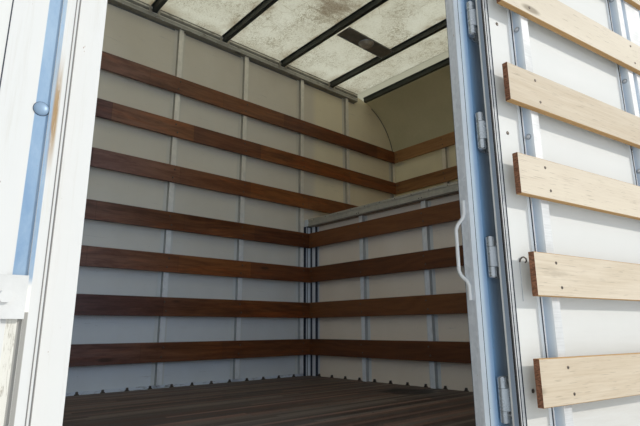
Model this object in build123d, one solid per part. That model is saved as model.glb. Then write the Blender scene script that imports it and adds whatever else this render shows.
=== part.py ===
"""Cargo body of a household mover's box truck: attic over the cab, side door, rear swing doors.

Axes: X to the kerb side, Y forward, Z up, millimetres.
The origin is the middle of the chassis bolt pattern, on the underside of the long sills.
"""
import math
import os

from build123d import *

os.makedirs("parts", exist_ok=True)

# Overall sizes
WIDTH = 2591.0
FLOOR_LENGTH = 6100.0
INNER_HEIGHT = 2785.0
ATTIC_DEPTH = 1226.0
ATTIC_FLOOR_HEIGHT = 1340.0
NOSE_RADIUS = 610.0

# Wall build-up, from the outside in
SKIN = 6.0
POST_DEPTH = 32.0
SLAT_THICK = 19.0
SLAT_HEIGHT = 130.0
SLAT_EDGE = 2.0
SLAT_END_GAP = 2.0
POST_LIFT = 1.0
SHELL = 5.0

# Slats: height of the lowest one over the floor, pitch of the lower and upper ones
SLAT_FIRST = 171.0
LOWER_PITCH = 304.0
LOWER_SLATS = 4
UPPER_PITCH = 355.0
UPPER_SLATS = 3

# Hat posts: crown, foot to foot, sheet, pitch along the walls
POST_CROWN = 38.0
POST_BASE = 90.0
POST_SHEET = 2.5
POST_PITCH = 610.0
POST_TO_BULKHEAD = 749.0
CORNER_POST_SETBACK = 123.0
CROSS_WALL_PITCH = 620.0

# Floor structure
SILL_HEIGHT = 102.0
SILL_FLANGE = 70.0
SILL_WALL = 7.0
FRAME_WIDTH = 864.0
BOLT_HOLE_R = 8.75
BOLT_SETBACK = 40.0
BOLT_SPACING_Y = 4000.0
CROSS_HEIGHT = 76.0
CROSS_FLANGE = 57.0
CROSS_WALL = 6.0
CROSS_PITCH = 305.0
BOARD_THICK = 32.0
BOARD_COUNT = 8
BOARD_GAP = 1.0

# Rails
RAIL_WALL = 5.0
RAIL_STEP = 18.0
RAIL_LIP = 20.0
RAIL_FOOT = 4.0
RAIL_LEDGE = 40.0
TOP_RAIL_HEIGHT = 84.0
TOP_RAIL_RADIUS = 50.0
TOP_RAIL_LAP = 11.0
TOP_RAIL_GROOVE = 3.0

# Roof
BOW_WIDTH = 64.0
BOW_DEPTH = 45.0
BOW_SHEET = 2.5
BOW_PITCH = 612.0
BOW_TO_BULKHEAD = 373.0
NOSE_BOW_SETBACK = 499.0
LAMP_BAR_WIDTH = 150.0
LAMP_BAR_SHEET = 3.0
LAMP_OFFSET = 475.0
LAMP_R = 62.0
LAMP_DROP = 24.0
LAMP_TAPER = 0.7
LAMP_BAYS = (0, 6)

# Attic
DECK_THICK = 70.0
ATTIC_RAIL_HEIGHT = 64.0
ATTIC_RAIL_DEPTH = 32.0
ATTIC_RAIL_GROOVE = 5.0

# Side doorway, measured back from the bulkhead's outer face
DOOR_AXIS_SETBACK = 1504.0
DOOR_WIDTH = 1172.0
DOOR_HEADROOM = 25.0
THRESHOLD = 3.0
AXIS_BEHIND = 1.0
FRONT_STOP = 27.0
REAR_STOP = 47.0
JAMB_WIDTH = 90.0
JAMB_WALL = 4.0
REBATE = 26.0
DOOR_GAP = 6.0
AXIS_OUT = 20.0
OPEN_ANGLE = 170.5
EDGE_WIDTH = 34.0
EDGE_DEPTH = 14.0
SLAT_CLEAR = 19.0
SEAL_GAP = 1.0
EDGE_LIP = 5.0
SEAL_INSET = 0.5
SEAL_WIDTH = 5.0
DOOR_POST_NEAR = 205.0
DOOR_POST_PITCH = 704.0
DOOR_STILE_INSET = 85.0
DOOR_STILE_CROWN = 122.0
DOOR_STILE_BASE = 130.0
JAMB_LAND = 24.0
JAMB_GROOVE = 25.0

# Distance from the hinge axis to the cut end of each door slat, lowest slat first
DOOR_SLAT_ENDS = (68.0, 95.0, 66.0, 60.0, 64.0, 72.0, 62.0)

# Hinges of the side door
HINGE_COUNT = 7
HINGE_FIRST = 191.0
HINGE_PITCH = 400.0
HINGE_LENGTH = 118.0
HINGE_R = 11.5
HINGE_LEAF = 72.0
HINGE_SHEET = 5.0
HINGE_SET = 24.0
KNUCKLE_GAP = 1.0

# Grab handle, keeper and locks
HANDLE_LOW = 466.0
HANDLE_SPAN = 304.0
HANDLE_CRANK = 30.0
HANDLE_FOOT = 50.0
HANDLE_FLAT = 1.0
HANDLE_BEND = 9.0
HANDLE_SIDE = 12.0
HANDLE_STAND = 11.0
HANDLE_ROD_R = 5.5
KEEPER_LENGTH = 120.0
KEEPER_HEIGHT = 58.0
KEEPER_SHEET = 6.0
KEEPER_BOLT = 9.0
SIDE_LOCK_HEIGHT = 430.0
SIDE_LOCK_INSET = 104.0
LOCK_R = 13.0
LOCK_STAND = 24.0
LOCK_END = 12.0
LOCK_LEVER = 330.0
LEVER_OUT = 8.0
LEVER_THICK = 10.0
LEVER_HEIGHT = 28.0
LEVER_GRIP = 40.0
LEVER_TIP = 14.0
LEVER_BEND = 2.0
HUB_HALF = 16.0
CATCH_SETBACK = 45.0
CATCH_WIDTH = 30.0
CATCH_HEIGHT = 40.0
CAM_HALF = 14.0
CAM_NOSE = 24.0
CAM_OUT = 20.0
GUIDE_SHARES = (0.16, 0.8)
GUIDE_FOOT = 50.0
GUIDE_FLANK = 24.0
GUIDE_CAP = 17.0
GUIDE_SHEET = 5.0
GUIDE_HEIGHT = 44.0

# Rear frame and doors
REAR_POST = 70.0
REAR_DEPTH = 80.0
REAR_HEADER = 130.0
REAR_LAP = 60.0
REAR_LEAF = 45.0
REAR_GAP = 5.0
REAR_AXIS_OUT = 12.0
REAR_AXIS_IN = 3.5
REAR_HINGES = 4
REAR_KNUCKLE_R = 9.0
REAR_STRAP = 160.0
REAR_TRIM = 60.0
REAR_RECESS = 20.0
REAR_LOCK_PLACE = 600.0
REAR_LOCK_HEIGHT = 700.0
REAR_LOCK_END = 6.0
REAR_MEET = 2.5
REAR_BRACKET = 11.0
REAR_EAR = 10.0
REAR_STRAP_THICK = 6.0
REAR_KEEPER_HALF = 32.0
REAR_KEEPER_HEIGHT = 30.0
GUTTER = 8.0
MARKER_SIZE = 64.0
MARKER_HEIGHT = 24.0
MARKER_DEPTH = 12.0
NOSE_MARKER_DEPTH = 14.0
NOSE_MARKER_DROP = 40.0
MARKER_PITCH = 160.0
MARKER_INSET = 90.0
STOP_LAMP = 150.0

# Planes worked out from the sizes above
SIDE = WIDTH / 2
SIDE_SKIN = SIDE - SKIN
SIDE_POST = SIDE_SKIN - POST_DEPTH
SIDE_SLAT = SIDE_POST - SLAT_THICK
WALL = SIDE - SIDE_SLAT
REAR = -FLOOR_LENGTH / 2
FRONT = FLOOR_LENGTH / 2
REAR_INNER = REAR + REAR_DEPTH
BULK_SKIN = FRONT - SKIN
BULK_POST = BULK_SKIN - POST_DEPTH
BULK_SLAT = BULK_POST - SLAT_THICK
NOSE_SLAT = BULK_SLAT + ATTIC_DEPTH
NOSE_POST = NOSE_SLAT + SLAT_THICK
NOSE_SKIN = NOSE_POST + POST_DEPTH
FLOOR_UNDER = SILL_HEIGHT + CROSS_HEIGHT
FLOOR = FLOOR_UNDER + BOARD_THICK
ROOF = FLOOR + INNER_HEIGHT
ROOF_TOP = ROOF + SHELL
TOP_RAIL = ROOF - TOP_RAIL_HEIGHT
PANEL_TOP = TOP_RAIL - TOP_RAIL_LAP
PANEL_FOOT = FLOOR_UNDER + RAIL_STEP
RAIL_INNER = SIDE_SKIN - RAIL_WALL
LIP_TOP = FLOOR + RAIL_LIP
DECK_TOP = FLOOR + ATTIC_FLOOR_HEIGHT
DECK_UNDER = DECK_TOP - DECK_THICK
NOSE_START = NOSE_SKIN - NOSE_RADIUS
NOSE_SPRING = ROOF - NOSE_RADIUS
AXIS_X = SIDE + AXIS_OUT
AXIS_Y = FRONT - DOOR_AXIS_SETBACK
DOOR_FRONT = AXIS_Y + AXIS_BEHIND
DOOR_REAR = DOOR_FRONT - DOOR_WIDTH
STOP_X = SIDE - REBATE
STOP_FRONT = DOOR_FRONT - FRONT_STOP
STOP_REAR = DOOR_REAR + REAR_STOP
JAMB_FRONT = DOOR_FRONT + JAMB_WIDTH
JAMB_REAR = DOOR_REAR - JAMB_WIDTH
DOOR_HEAD = PANEL_TOP - DOOR_HEADROOM
STOP_HEAD = DOOR_HEAD - FRONT_STOP
SLAT_HEIGHTS = [FLOOR + SLAT_FIRST + i * LOWER_PITCH for i in range(LOWER_SLATS)]
SLAT_HEIGHTS += [SLAT_HEIGHTS[-1] + (i + 1) * UPPER_PITCH for i in range(UPPER_SLATS)]
LOW_SLATS = SLAT_HEIGHTS[:LOWER_SLATS]
HIGH_SLATS = SLAT_HEIGHTS[LOWER_SLATS:]


def block(x, y, z):
    """Box between the given pairs of planes."""
    middle = [(pair[0] + pair[1]) / 2 for pair in (x, y, z)]
    return Pos(*middle) * Box(x[1] - x[0], y[1] - y[0], z[1] - z[0])


def outline(points):
    """Flat face through 3-D points; a point marked "arc" is the middle of an arc."""
    edges = []
    count = len(points)
    i = 0
    while i < count:
        here = points[i]
        after = points[(i + 1) % count]
        if after[0] == "arc":
            end = points[(i + 2) % count]
            edges.append(ThreePointArc(here, after[1], end))
            i += 2
        else:
            edges.append(Line(here, after))
            i += 1
    return make_face(edges)


def along_x(points, x0, x1):
    """Profile in Y and Z, run between two X planes."""
    face = outline([("arc", (x0, *p[1])) if p[0] == "arc" else (x0, *p) for p in points])
    return extrude(face, amount=x1 - x0, dir=(1, 0, 0))


def along_y(points, y0, y1):
    """Profile in X and Z, run between two Y planes."""
    face = outline([("arc", (p[1][0], y0, p[1][1])) if p[0] == "arc" else (p[0], y0, p[1]) for p in points])
    return extrude(face, amount=y1 - y0, dir=(0, 1, 0))


def along_z(points, z0, z1):
    """Profile in X and Y, run between two heights."""
    face = outline([("arc", (*p[1], z0)) if p[0] == "arc" else (*p, z0) for p in points])
    return extrude(face, amount=z1 - z0, dir=(0, 0, 1))


def mirrored(shape):
    """The same shape on the other side of the body."""
    return mirror(shape, about=Plane.YZ)


def fused(shapes):
    """One solid from touching shapes."""
    return shapes[0].fuse(*shapes[1:])


def group(shapes):
    """Like pieces that don't touch, kept as separate solids."""
    solids = [solid for shape in shapes for solid in shape.solids()]
    return Compound(solids)


def touch(point, centre, radius, turn):
    """Where a line from point touches a circle; turn is +1 or -1 for the side it passes."""
    dx = point[0] - centre[0]
    dy = point[1] - centre[1]
    angle = math.atan2(dy, dx) + turn * math.acos(radius / math.hypot(dx, dy))
    return (centre[0] + radius * math.cos(angle), centre[1] + radius * math.sin(angle))


def curled(plate, centre, radius):
    """Plate profile, clockwise, whose last and first points run on to a round knuckle and wrap round it."""
    end = touch(plate[-1], centre, radius, -1)
    start = touch(plate[0], centre, radius, 1)
    back = (centre[0] - (end[0] + start[0]) / 2, centre[1] - (end[1] + start[1]) / 2)
    near = (plate[0][0] + plate[-1][0]) / 2 - centre[0], (plate[0][1] + plate[-1][1]) / 2 - centre[1]
    reach = radius / math.hypot(*back)
    if back[0] * near[0] + back[1] * near[1] > 0:
        reach = -reach
    return [*plate, end, ("arc", (centre[0] + back[0] * reach, centre[1] + back[1] * reach)), start]


def hat(centre, depth_sign, base, depth=POST_DEPTH, crown=POST_CROWN, feet=POST_BASE, sheet=POST_SHEET):
    """Hat section as (along, across) points: feet on base, crown towards depth_sign."""
    top = base + depth_sign * depth
    foot = base + depth_sign * sheet
    lid = top - depth_sign * sheet
    return [
        (centre - feet / 2, base),
        (centre - feet / 2, foot),
        (centre - crown / 2 - sheet, foot),
        (centre - crown / 2, top),
        (centre + crown / 2, top),
        (centre + crown / 2 + sheet, foot),
        (centre + feet / 2, foot),
        (centre + feet / 2, base),
        (centre + crown / 2, base),
        (centre + crown / 2 - sheet, lid),
        (centre - crown / 2 + sheet, lid),
        (centre - crown / 2, base),
    ]


def slat_section(face, back, bottom):
    """Eased board as (across, height) points, its face towards the load."""
    top = bottom + SLAT_HEIGHT
    ease = SLAT_EDGE if back > face else -SLAT_EDGE
    return [
        (back, bottom),
        (face + ease, bottom),
        (face, bottom + SLAT_EDGE),
        (face, top - SLAT_EDGE),
        (face + ease, top),
        (back, top),
    ]


# Floor structure

def long_sill():
    """Channel over one chassis rail, open towards the middle, drilled for the chassis bolts."""
    outer = FRAME_WIDTH / 2
    inner = outer - SILL_FLANGE
    section = [
        (outer, 0),
        (outer, SILL_HEIGHT),
        (inner, SILL_HEIGHT),
        (inner, SILL_HEIGHT - SILL_WALL),
        (outer - SILL_WALL, SILL_HEIGHT - SILL_WALL),
        (outer - SILL_WALL, SILL_WALL),
        (inner, SILL_WALL),
        (inner, 0),
    ]
    sill = along_y(section, REAR_INNER, BULK_SKIN)
    for y in (-BOLT_SPACING_Y / 2, BOLT_SPACING_Y / 2):
        sill -= Pos(outer - BOLT_SETBACK, y, SILL_WALL / 2) * Cylinder(BOLT_HOLE_R, SILL_WALL * 2)
    return sill


def cross_member(y):
    """I-beam across the sills, between the bottom rails."""
    end = RAIL_INNER - BOARD_GAP
    half = CROSS_FLANGE / 2
    web = CROSS_WALL / 2
    top = FLOOR_UNDER
    base = SILL_HEIGHT
    section = [
        (y - half, base),
        (y - half, base + CROSS_WALL),
        (y - web, base + CROSS_WALL),
        (y - web, top - CROSS_WALL),
        (y - half, top - CROSS_WALL),
        (y - half, top),
        (y + half, top),
        (y + half, top - CROSS_WALL),
        (y + web, top - CROSS_WALL),
        (y + web, base + CROSS_WALL),
        (y + half, base + CROSS_WALL),
        (y + half, base),
    ]
    return along_x(section, -end, end)


def bottom_rail():
    """Side rail: cross members end against its web, the wall sheet stands on its step."""
    section = [
        (SIDE, SILL_HEIGHT - RAIL_FOOT),
        (SIDE, PANEL_FOOT),
        (SIDE_SKIN, PANEL_FOOT),
        (SIDE_SKIN, LIP_TOP),
        (RAIL_INNER, LIP_TOP),
        (RAIL_INNER, SILL_HEIGHT),
        (RAIL_INNER - RAIL_LEDGE, SILL_HEIGHT),
        (RAIL_INNER - RAIL_LEDGE, SILL_HEIGHT - RAIL_FOOT),
    ]
    return along_y(section, REAR_INNER, BULK_SKIN)


def floor_boards():
    """Lengthwise boards, side by side."""
    span = 2 * (RAIL_INNER - BOARD_GAP)
    pitch = (span + BOARD_GAP) / BOARD_COUNT
    left = -span / 2
    boards = []
    for i in range(BOARD_COUNT):
        x = left + i * pitch
        length = (REAR_INNER, BULK_SKIN - BOARD_GAP)
        boards.append(block((x, x + pitch - BOARD_GAP), length, (FLOOR_UNDER, FLOOR)))
    return group(boards)


# Walls

def side_outline(y_rear):
    """Outline of a side wall sheet in Y and Z, with the attic and its curved nose."""
    half = NOSE_RADIUS * math.sqrt(0.5)
    return [
        (y_rear, PANEL_FOOT),
        (FRONT, PANEL_FOOT),
        (FRONT, DECK_UNDER),
        (NOSE_SKIN, DECK_UNDER),
        (NOSE_SKIN, NOSE_SPRING),
        ("arc", (NOSE_START + half, NOSE_SPRING + half)),
        (NOSE_START, ROOF),
        (NOSE_START, PANEL_TOP),
        (y_rear, PANEL_TOP),
    ]


def left_panel():
    return along_x(side_outline(REAR_INNER), -SIDE, -SIDE_SKIN)


def right_panel():
    """The same sheet in two pieces, either side of the side doorway."""
    rear = block((SIDE_SKIN, SIDE), (REAR_INNER, JAMB_REAR), (PANEL_FOOT, PANEL_TOP))
    front = along_x(side_outline(JAMB_FRONT), SIDE_SKIN, SIDE)
    return group([rear, front])


def wall_posts(places):
    """Hat posts of one wall from a table of (y, foot, head)."""
    posts = []
    for y, foot, head in places:
        section = [(across, along) for along, across in hat(y, -1, SIDE_SKIN)]
        posts.append(along_z(section, foot, head))
    return posts


def post_places(skip_doorway):
    """Rows of (y, foot, head) for one wall."""
    rows = []
    y = FRONT - POST_TO_BULKHEAD
    while y - POST_BASE / 2 > REAR_INNER:
        in_doorway = JAMB_REAR < y + POST_BASE / 2 and y - POST_BASE / 2 < JAMB_FRONT
        if not (skip_doorway and in_doorway):
            rows.append((y, LIP_TOP + POST_LIFT, TOP_RAIL))
        y -= POST_PITCH
    rows.append((FRONT - CORNER_POST_SETBACK, LIP_TOP + POST_LIFT, TOP_RAIL))
    rows.append((FRONT - POST_TO_BULKHEAD + 2 * POST_PITCH, DECK_TOP, TOP_RAIL))
    rows.append((NOSE_SKIN - POST_BASE / 2, DECK_TOP, NOSE_SPRING))
    return rows


def side_slat(bottom, y0, y1):
    return along_y(slat_section(SIDE_SLAT, SIDE_POST, bottom), y0, y1)


def left_slats():
    """Four slats run to the bulkhead posts, three on into the attic."""
    slats = [side_slat(z, REAR_INNER, BULK_POST - SLAT_END_GAP) for z in LOW_SLATS]
    slats += [side_slat(z, REAR_INNER, NOSE_POST - SLAT_END_GAP) for z in HIGH_SLATS]
    return mirrored(group(slats))


def right_slats():
    """As on the left, broken at the side doorway."""
    gap = SLAT_END_GAP
    slats = [side_slat(z, REAR_INNER, JAMB_REAR - gap) for z in SLAT_HEIGHTS]
    slats += [side_slat(z, JAMB_FRONT + gap, BULK_POST - gap) for z in LOW_SLATS]
    slats += [side_slat(z, JAMB_FRONT + gap, NOSE_POST - gap) for z in HIGH_SLATS]
    return group(slats)


def cross_posts(base, foot, head):
    """Hat posts of the bulkhead or nose, with the feet on the sheet at base."""
    return group([along_z(hat(x, -1, base), foot, head) for x in (-CROSS_WALL_PITCH, 0, CROSS_WALL_PITCH)])


def cross_slats(face, back, heights):
    """Slats across the body, between the faces of the side slats."""
    end = SIDE_SLAT - SLAT_END_GAP
    return group([along_x(slat_section(face, back, z), -end, end) for z in heights])


# Attic

def attic_deck():
    return block((-SIDE_SKIN, SIDE_SKIN), (BULK_POST, NOSE_SKIN), (DECK_UNDER, DECK_TOP))


def attic_rail():
    """Pressed edge rail of the attic floor: a channel with a groove along its face."""
    face = BULK_POST - ATTIC_RAIL_DEPTH
    low = DECK_TOP - ATTIC_RAIL_HEIGHT
    third = ATTIC_RAIL_HEIGHT / 3
    groove = ATTIC_RAIL_GROOVE
    section = [
        (BULK_POST, low),
        (face, low),
        (face, low + third),
        (face + groove, low + third + groove),
        (face + groove, DECK_TOP - third),
        (face, DECK_TOP - third + groove),
        (face, DECK_TOP),
        (BULK_POST, DECK_TOP),
    ]
    end = SIDE_SLAT - SLAT_END_GAP
    return along_x(section, -end, end)


def nose_section(thick):
    """Shell profile in Y and Z: upright front, quarter round up to the roof."""
    inner = NOSE_RADIUS
    outer = NOSE_RADIUS + thick
    half = math.sqrt(0.5)
    return [
        (NOSE_SKIN, DECK_UNDER),
        (NOSE_SKIN + thick, DECK_UNDER),
        (NOSE_SKIN + thick, NOSE_SPRING),
        ("arc", (NOSE_START + outer * half, NOSE_SPRING + outer * half)),
        (NOSE_START, ROOF + thick),
        (NOSE_START, ROOF),
        ("arc", (NOSE_START + inner * half, NOSE_SPRING + inner * half)),
        (NOSE_SKIN, NOSE_SPRING),
    ]


# Roof

def top_rail():
    """Hollow roof rail with a rounded outer corner and a ledge for the roof sheet."""
    shoulder = SIDE - TOP_RAIL_RADIUS
    corner = TOP_RAIL_RADIUS * math.sqrt(0.5)
    middle = (ROOF + TOP_RAIL) / 2
    groove = TOP_RAIL_GROOVE
    section = [
        (SIDE, PANEL_TOP),
        (SIDE, ROOF_TOP - TOP_RAIL_RADIUS),
        ("arc", (shoulder + corner, ROOF_TOP - TOP_RAIL_RADIUS + corner)),
        (shoulder, ROOF_TOP),
        (shoulder, ROOF),
        (SIDE_SLAT, ROOF),
        (SIDE_SLAT, middle + groove),
        (SIDE_SLAT + groove, middle),
        (SIDE_SLAT + groove, middle - groove),
        (SIDE_SLAT, middle - 2 * groove),
        (SIDE_SLAT, TOP_RAIL),
        (SIDE_SKIN, TOP_RAIL),
        (SIDE_SKIN, PANEL_TOP),
    ]
    wall = RAIL_WALL
    inner = SIDE_SLAT + wall + groove
    hollow = [
        (inner, TOP_RAIL + wall),
        (SIDE - wall, TOP_RAIL + wall),
        (SIDE - wall, ROOF_TOP - TOP_RAIL_RADIUS),
        (inner, ROOF - wall),
    ]
    return along_y(section, REAR_INNER, NOSE_START) - along_y(hollow, REAR_INNER, NOSE_START)


def bow_places():
    """Centres of the roof bows, and of the nose bow last."""
    places = []
    y = FRONT - BOW_TO_BULKHEAD + BOW_PITCH
    while y - BOW_WIDTH / 2 > REAR_INNER:
        places.append(y)
        y -= BOW_PITCH
    return places


def bow(y, top):
    """Roof bow: a hat with its crown down and its feet under the roof sheet."""
    section = hat(y, -1, top, depth=BOW_DEPTH, crown=BOW_WIDTH / 2, feet=BOW_WIDTH, sheet=BOW_SHEET)
    return along_x(section, -SIDE_SLAT, SIDE_SLAT)


def roof_bows():
    nose_bow_y = NOSE_SKIN - NOSE_BOW_SETBACK
    reach = nose_bow_y + BOW_WIDTH / 2 - NOSE_START
    nose_top = NOSE_SPRING + math.sqrt(NOSE_RADIUS ** 2 - reach ** 2)
    bows = [bow(y, ROOF) for y in bow_places()]
    bows.append(bow(nose_bow_y, nose_top))
    return group(bows)


def roof_lamps():
    """Lamp bars between bows, each with a shallow dome lamp."""
    places = bow_places()
    low = ROOF - BOW_DEPTH
    lamps = []
    for bay in LAMP_BAYS:
        y0 = places[bay + 1] + BOW_WIDTH / 2
        y1 = places[bay] - BOW_WIDTH / 2
        x = (-LAMP_OFFSET - LAMP_BAR_WIDTH / 2, -LAMP_OFFSET + LAMP_BAR_WIDTH / 2)
        bar = block(x, (y0, y1), (low, low + LAMP_BAR_SHEET))
        dome = Cone(LAMP_R * LAMP_TAPER, LAMP_R, LAMP_DROP)
        dome = Pos(-LAMP_OFFSET, (y0 + y1) / 2, low - LAMP_DROP / 2) * dome
        lamps.append(bar + dome)
    return group(lamps)


# Side doorway

def side_frame():
    """Welded doorway frame: two stepped jambs, head and threshold."""
    front = along_z(
        [
            (SIDE_SLAT, STOP_FRONT),
            (STOP_X, STOP_FRONT),
            (STOP_X, DOOR_FRONT),
            (SIDE, DOOR_FRONT),
            (SIDE, JAMB_FRONT),
            (SIDE_SLAT, JAMB_FRONT),
        ],
        PANEL_FOOT,
        PANEL_TOP,
    )
    front -= block(
        (SIDE_SLAT + JAMB_WALL, SIDE - JAMB_WALL),
        (DOOR_FRONT + JAMB_WALL, JAMB_FRONT - JAMB_WALL),
        (PANEL_FOOT, PANEL_TOP),
    )
    rear = along_z(
        [
            (SIDE_SLAT, STOP_REAR),
            (STOP_X, STOP_REAR),
            (STOP_X, DOOR_REAR),
            (SIDE, DOOR_REAR),
            (SIDE, DOOR_REAR - JAMB_LAND),
            (SIDE - JAMB_WALL, DOOR_REAR - JAMB_LAND),
            (SIDE - JAMB_WALL, DOOR_REAR - JAMB_LAND - JAMB_GROOVE),
            (SIDE, DOOR_REAR - JAMB_LAND - JAMB_GROOVE),
            (SIDE, JAMB_REAR),
            (SIDE_SLAT, JAMB_REAR),
        ],
        PANEL_FOOT,
        PANEL_TOP,
    )
    rear -= block(
        (SIDE_SLAT + JAMB_WALL, SIDE - 2 * JAMB_WALL),
        (JAMB_REAR + JAMB_WALL, DOOR_REAR - JAMB_WALL),
        (PANEL_FOOT, PANEL_TOP),
    )
    head = along_y(
        [
            (SIDE_SLAT, STOP_HEAD),
            (STOP_X, STOP_HEAD),
            (STOP_X, DOOR_HEAD),
            (SIDE, DOOR_HEAD),
            (SIDE, PANEL_TOP),
            (SIDE_SLAT, PANEL_TOP),
        ],
        JAMB_REAR,
        JAMB_FRONT,
    )
    threshold = along_y(
        [
            (RAIL_INNER, PANEL_FOOT),
            (SIDE, PANEL_FOOT),
            (SIDE, FLOOR + THRESHOLD),
            (SIDE_SLAT, FLOOR + THRESHOLD),
            (SIDE_SLAT, FLOOR),
            (RAIL_INNER, FLOOR),
        ],
        JAMB_REAR,
        JAMB_FRONT,
    )
    floor_edge = block((SIDE_SLAT - 1, RAIL_INNER), (JAMB_REAR - 1, JAMB_FRONT + 1), (PANEL_FOOT - 1, FLOOR))
    return fused([front - floor_edge, rear - floor_edge, head, threshold])


def hinge_heights():
    return [FLOOR + HINGE_FIRST + i * HINGE_PITCH for i in range(HINGE_COUNT)]


def barrel(z0, z1, radius, x=None, y=None):
    """Upright round bar between two heights, on the side door's axis unless placed."""
    place = (AXIS_X if x is None else x, AXIS_Y if y is None else y, (z0 + z1) / 2)
    return Pos(*place) * Cylinder(radius, z1 - z0)


def hinge_leaf(z0, z1, knuckles, side):
    """Leaf plate between two heights, curled round the axis at each knuckle; side +1 is the jamb's half."""
    plate = [
        (SIDE, HINGE_SET - HINGE_SHEET),
        (SIDE, HINGE_LEAF),
        (SIDE + HINGE_SHEET, HINGE_LEAF),
        (SIDE + HINGE_SHEET, HINGE_SET),
    ]
    curl = curled([plate[0], plate[3]], (AXIS_X, 0), HINGE_R)
    pieces = [along_z(plate, z0, z1)]
    pieces += [along_z(curl, low, high) for low, high in knuckles]
    leaf = Pos(0, AXIS_Y, 0) * fused(pieces)
    return leaf if side > 0 else mirror(leaf, about=Plane.XZ.offset(-AXIS_Y))


def fixed_hinge(z):
    """Body half of a side door hinge, with the two end knuckles."""
    half = HINGE_LENGTH / 2
    gap = HINGE_LENGTH / 4 + KNUCKLE_GAP
    return hinge_leaf(z - half, z + half, ((z - half, z - gap), (z + gap, z + half)), 1)


def moving_hinge(z):
    """Door half of a side door hinge in the closed pose, with the middle knuckle."""
    quarter = HINGE_LENGTH / 4
    return hinge_leaf(z - quarter, z + quarter, ((z - quarter, z + quarter),), -1)


def eased(points, cut):
    """The same path with each corner cut off at the given distance before and after it."""
    path = [points[0]]
    for before, corner, after in zip(points, points[1:], points[2:]):
        for end in (before, after):
            share = cut / math.dist(corner, end)
            path.append(tuple(c + (e - c) * share for c, e in zip(corner, end)))
    path.append(points[-1])
    return path


def grab_handle():
    """Bent rod with flat feet on the front jamb's inner edge, cranked inwards past the door slats."""
    low = FLOOR + HANDLE_LOW
    high = low + HANDLE_SPAN
    foot = ((SIDE_SLAT + STOP_X) / 2, STOP_FRONT - HANDLE_ROD_R + HANDLE_FLAT)
    bar = (SIDE_SLAT - HANDLE_SIDE, STOP_FRONT - HANDLE_STAND)
    corners = [
        (*foot, low),
        (*foot, low + HANDLE_FOOT),
        (*bar, low + HANDLE_FOOT + HANDLE_CRANK),
        (*bar, high - HANDLE_FOOT - HANDLE_CRANK),
        (*foot, high - HANDLE_FOOT),
        (*foot, high),
    ]
    path = Polyline(*eased(corners, HANDLE_BEND))
    rod = sweep(Pos(*foot, low) * Circle(HANDLE_ROD_R), path=path, transition=Transition.RIGHT)
    return rod - block((SIDE_SLAT, STOP_X), (STOP_FRONT, STOP_FRONT + HANDLE_ROD_R), (low - 1, high + 1))


def latch_keeper():
    """Keeper plate across the rear jamb's groove, with a turned-up end and a bolt."""
    z = FLOOR + SIDE_LOCK_HEIGHT
    y1 = DOOR_REAR - JAMB_LAND
    y0 = y1 - KEEPER_LENGTH
    section = [
        (SIDE, y1),
        (SIDE + KEEPER_SHEET, y1),
        (SIDE + KEEPER_SHEET, y0 + KEEPER_SHEET),
        (SIDE + 3 * KEEPER_SHEET, y0 + KEEPER_SHEET),
        (SIDE + 3 * KEEPER_SHEET, y0),
        (SIDE, y0),
    ]
    plate = along_z(section, z - KEEPER_HEIGHT / 2, z + KEEPER_HEIGHT / 2)
    head = extrude(Plane.YZ * RegularPolygon(KEEPER_BOLT, 6), amount=KEEPER_SHEET)
    return plate + Pos(SIDE + KEEPER_SHEET, y1 - JAMB_GROOVE, z) * head


# Side door, built closed and then swung open

def swung(shape):
    """The closed door piece at its open rest."""
    return shape.rotate(Axis((AXIS_X, AXIS_Y, 0), (0, 0, 1)), OPEN_ANGLE)


LEAF_Y = (DOOR_REAR + DOOR_GAP, DOOR_FRONT - DOOR_GAP)
LEAF_Z = (FLOOR + THRESHOLD + DOOR_GAP, DOOR_HEAD - DOOR_GAP)
LEAF_SLAT_REAR = STOP_REAR + SLAT_CLEAR


def ring(x, y, z, width):
    """Rectangular ring between two X planes."""
    outer = block(x, y, z)
    inner = block((x[0] - 1, x[1] + 1), (y[0] + width, y[1] - width), (z[0] + width, z[1] - width))
    return outer - inner


def side_door_panel():
    return block((SIDE_SKIN, SIDE), LEAF_Y, LEAF_Z)


def side_door_frame():
    """Edge extrusion round the leaf, stepped beside the seal, with two hat posts and a wide lock stile."""
    edge = ring((SIDE_SKIN - EDGE_DEPTH, SIDE_SKIN), LEAF_Y, LEAF_Z, EDGE_WIDTH - EDGE_LIP)
    step = ring((SIDE_SKIN - EDGE_DEPTH / 2, SIDE_SKIN), LEAF_Y, LEAF_Z, EDGE_WIDTH)
    near = AXIS_Y - DOOR_POST_NEAR
    stile = LEAF_SLAT_REAR + DOOR_STILE_INSET
    uprights = [
        (near, POST_CROWN, POST_BASE),
        (near - DOOR_POST_PITCH, POST_CROWN, POST_BASE),
        (stile, DOOR_STILE_CROWN, DOOR_STILE_BASE),
    ]
    posts = []
    for y, crown, feet in uprights:
        section = [(across, along) for along, across in hat(y, -1, SIDE_SKIN, crown=crown, feet=feet)]
        posts.append(along_z(section, LEAF_Z[0] + EDGE_WIDTH, LEAF_Z[1] - EDGE_WIDTH))
    return fused([edge, step, *posts])


def side_door_slats():
    """Slats of the leaf, each with its own cut end beside the hinges."""
    places = zip(SLAT_HEIGHTS, DOOR_SLAT_ENDS)
    return group([side_slat(z, LEAF_SLAT_REAR, AXIS_Y - end) for z, end in places])


def side_door_seal():
    """Rubber strip around the leaf's inner edge, just clear of the stop."""
    y = (LEAF_Y[0] + SEAL_INSET, LEAF_Y[1] - SEAL_INSET)
    z = (LEAF_Z[0] + SEAL_INSET, LEAF_Z[1] - SEAL_INSET)
    return ring((STOP_X + SEAL_GAP, SIDE_SKIN - EDGE_DEPTH), y, z, SEAL_WIDTH)


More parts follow.
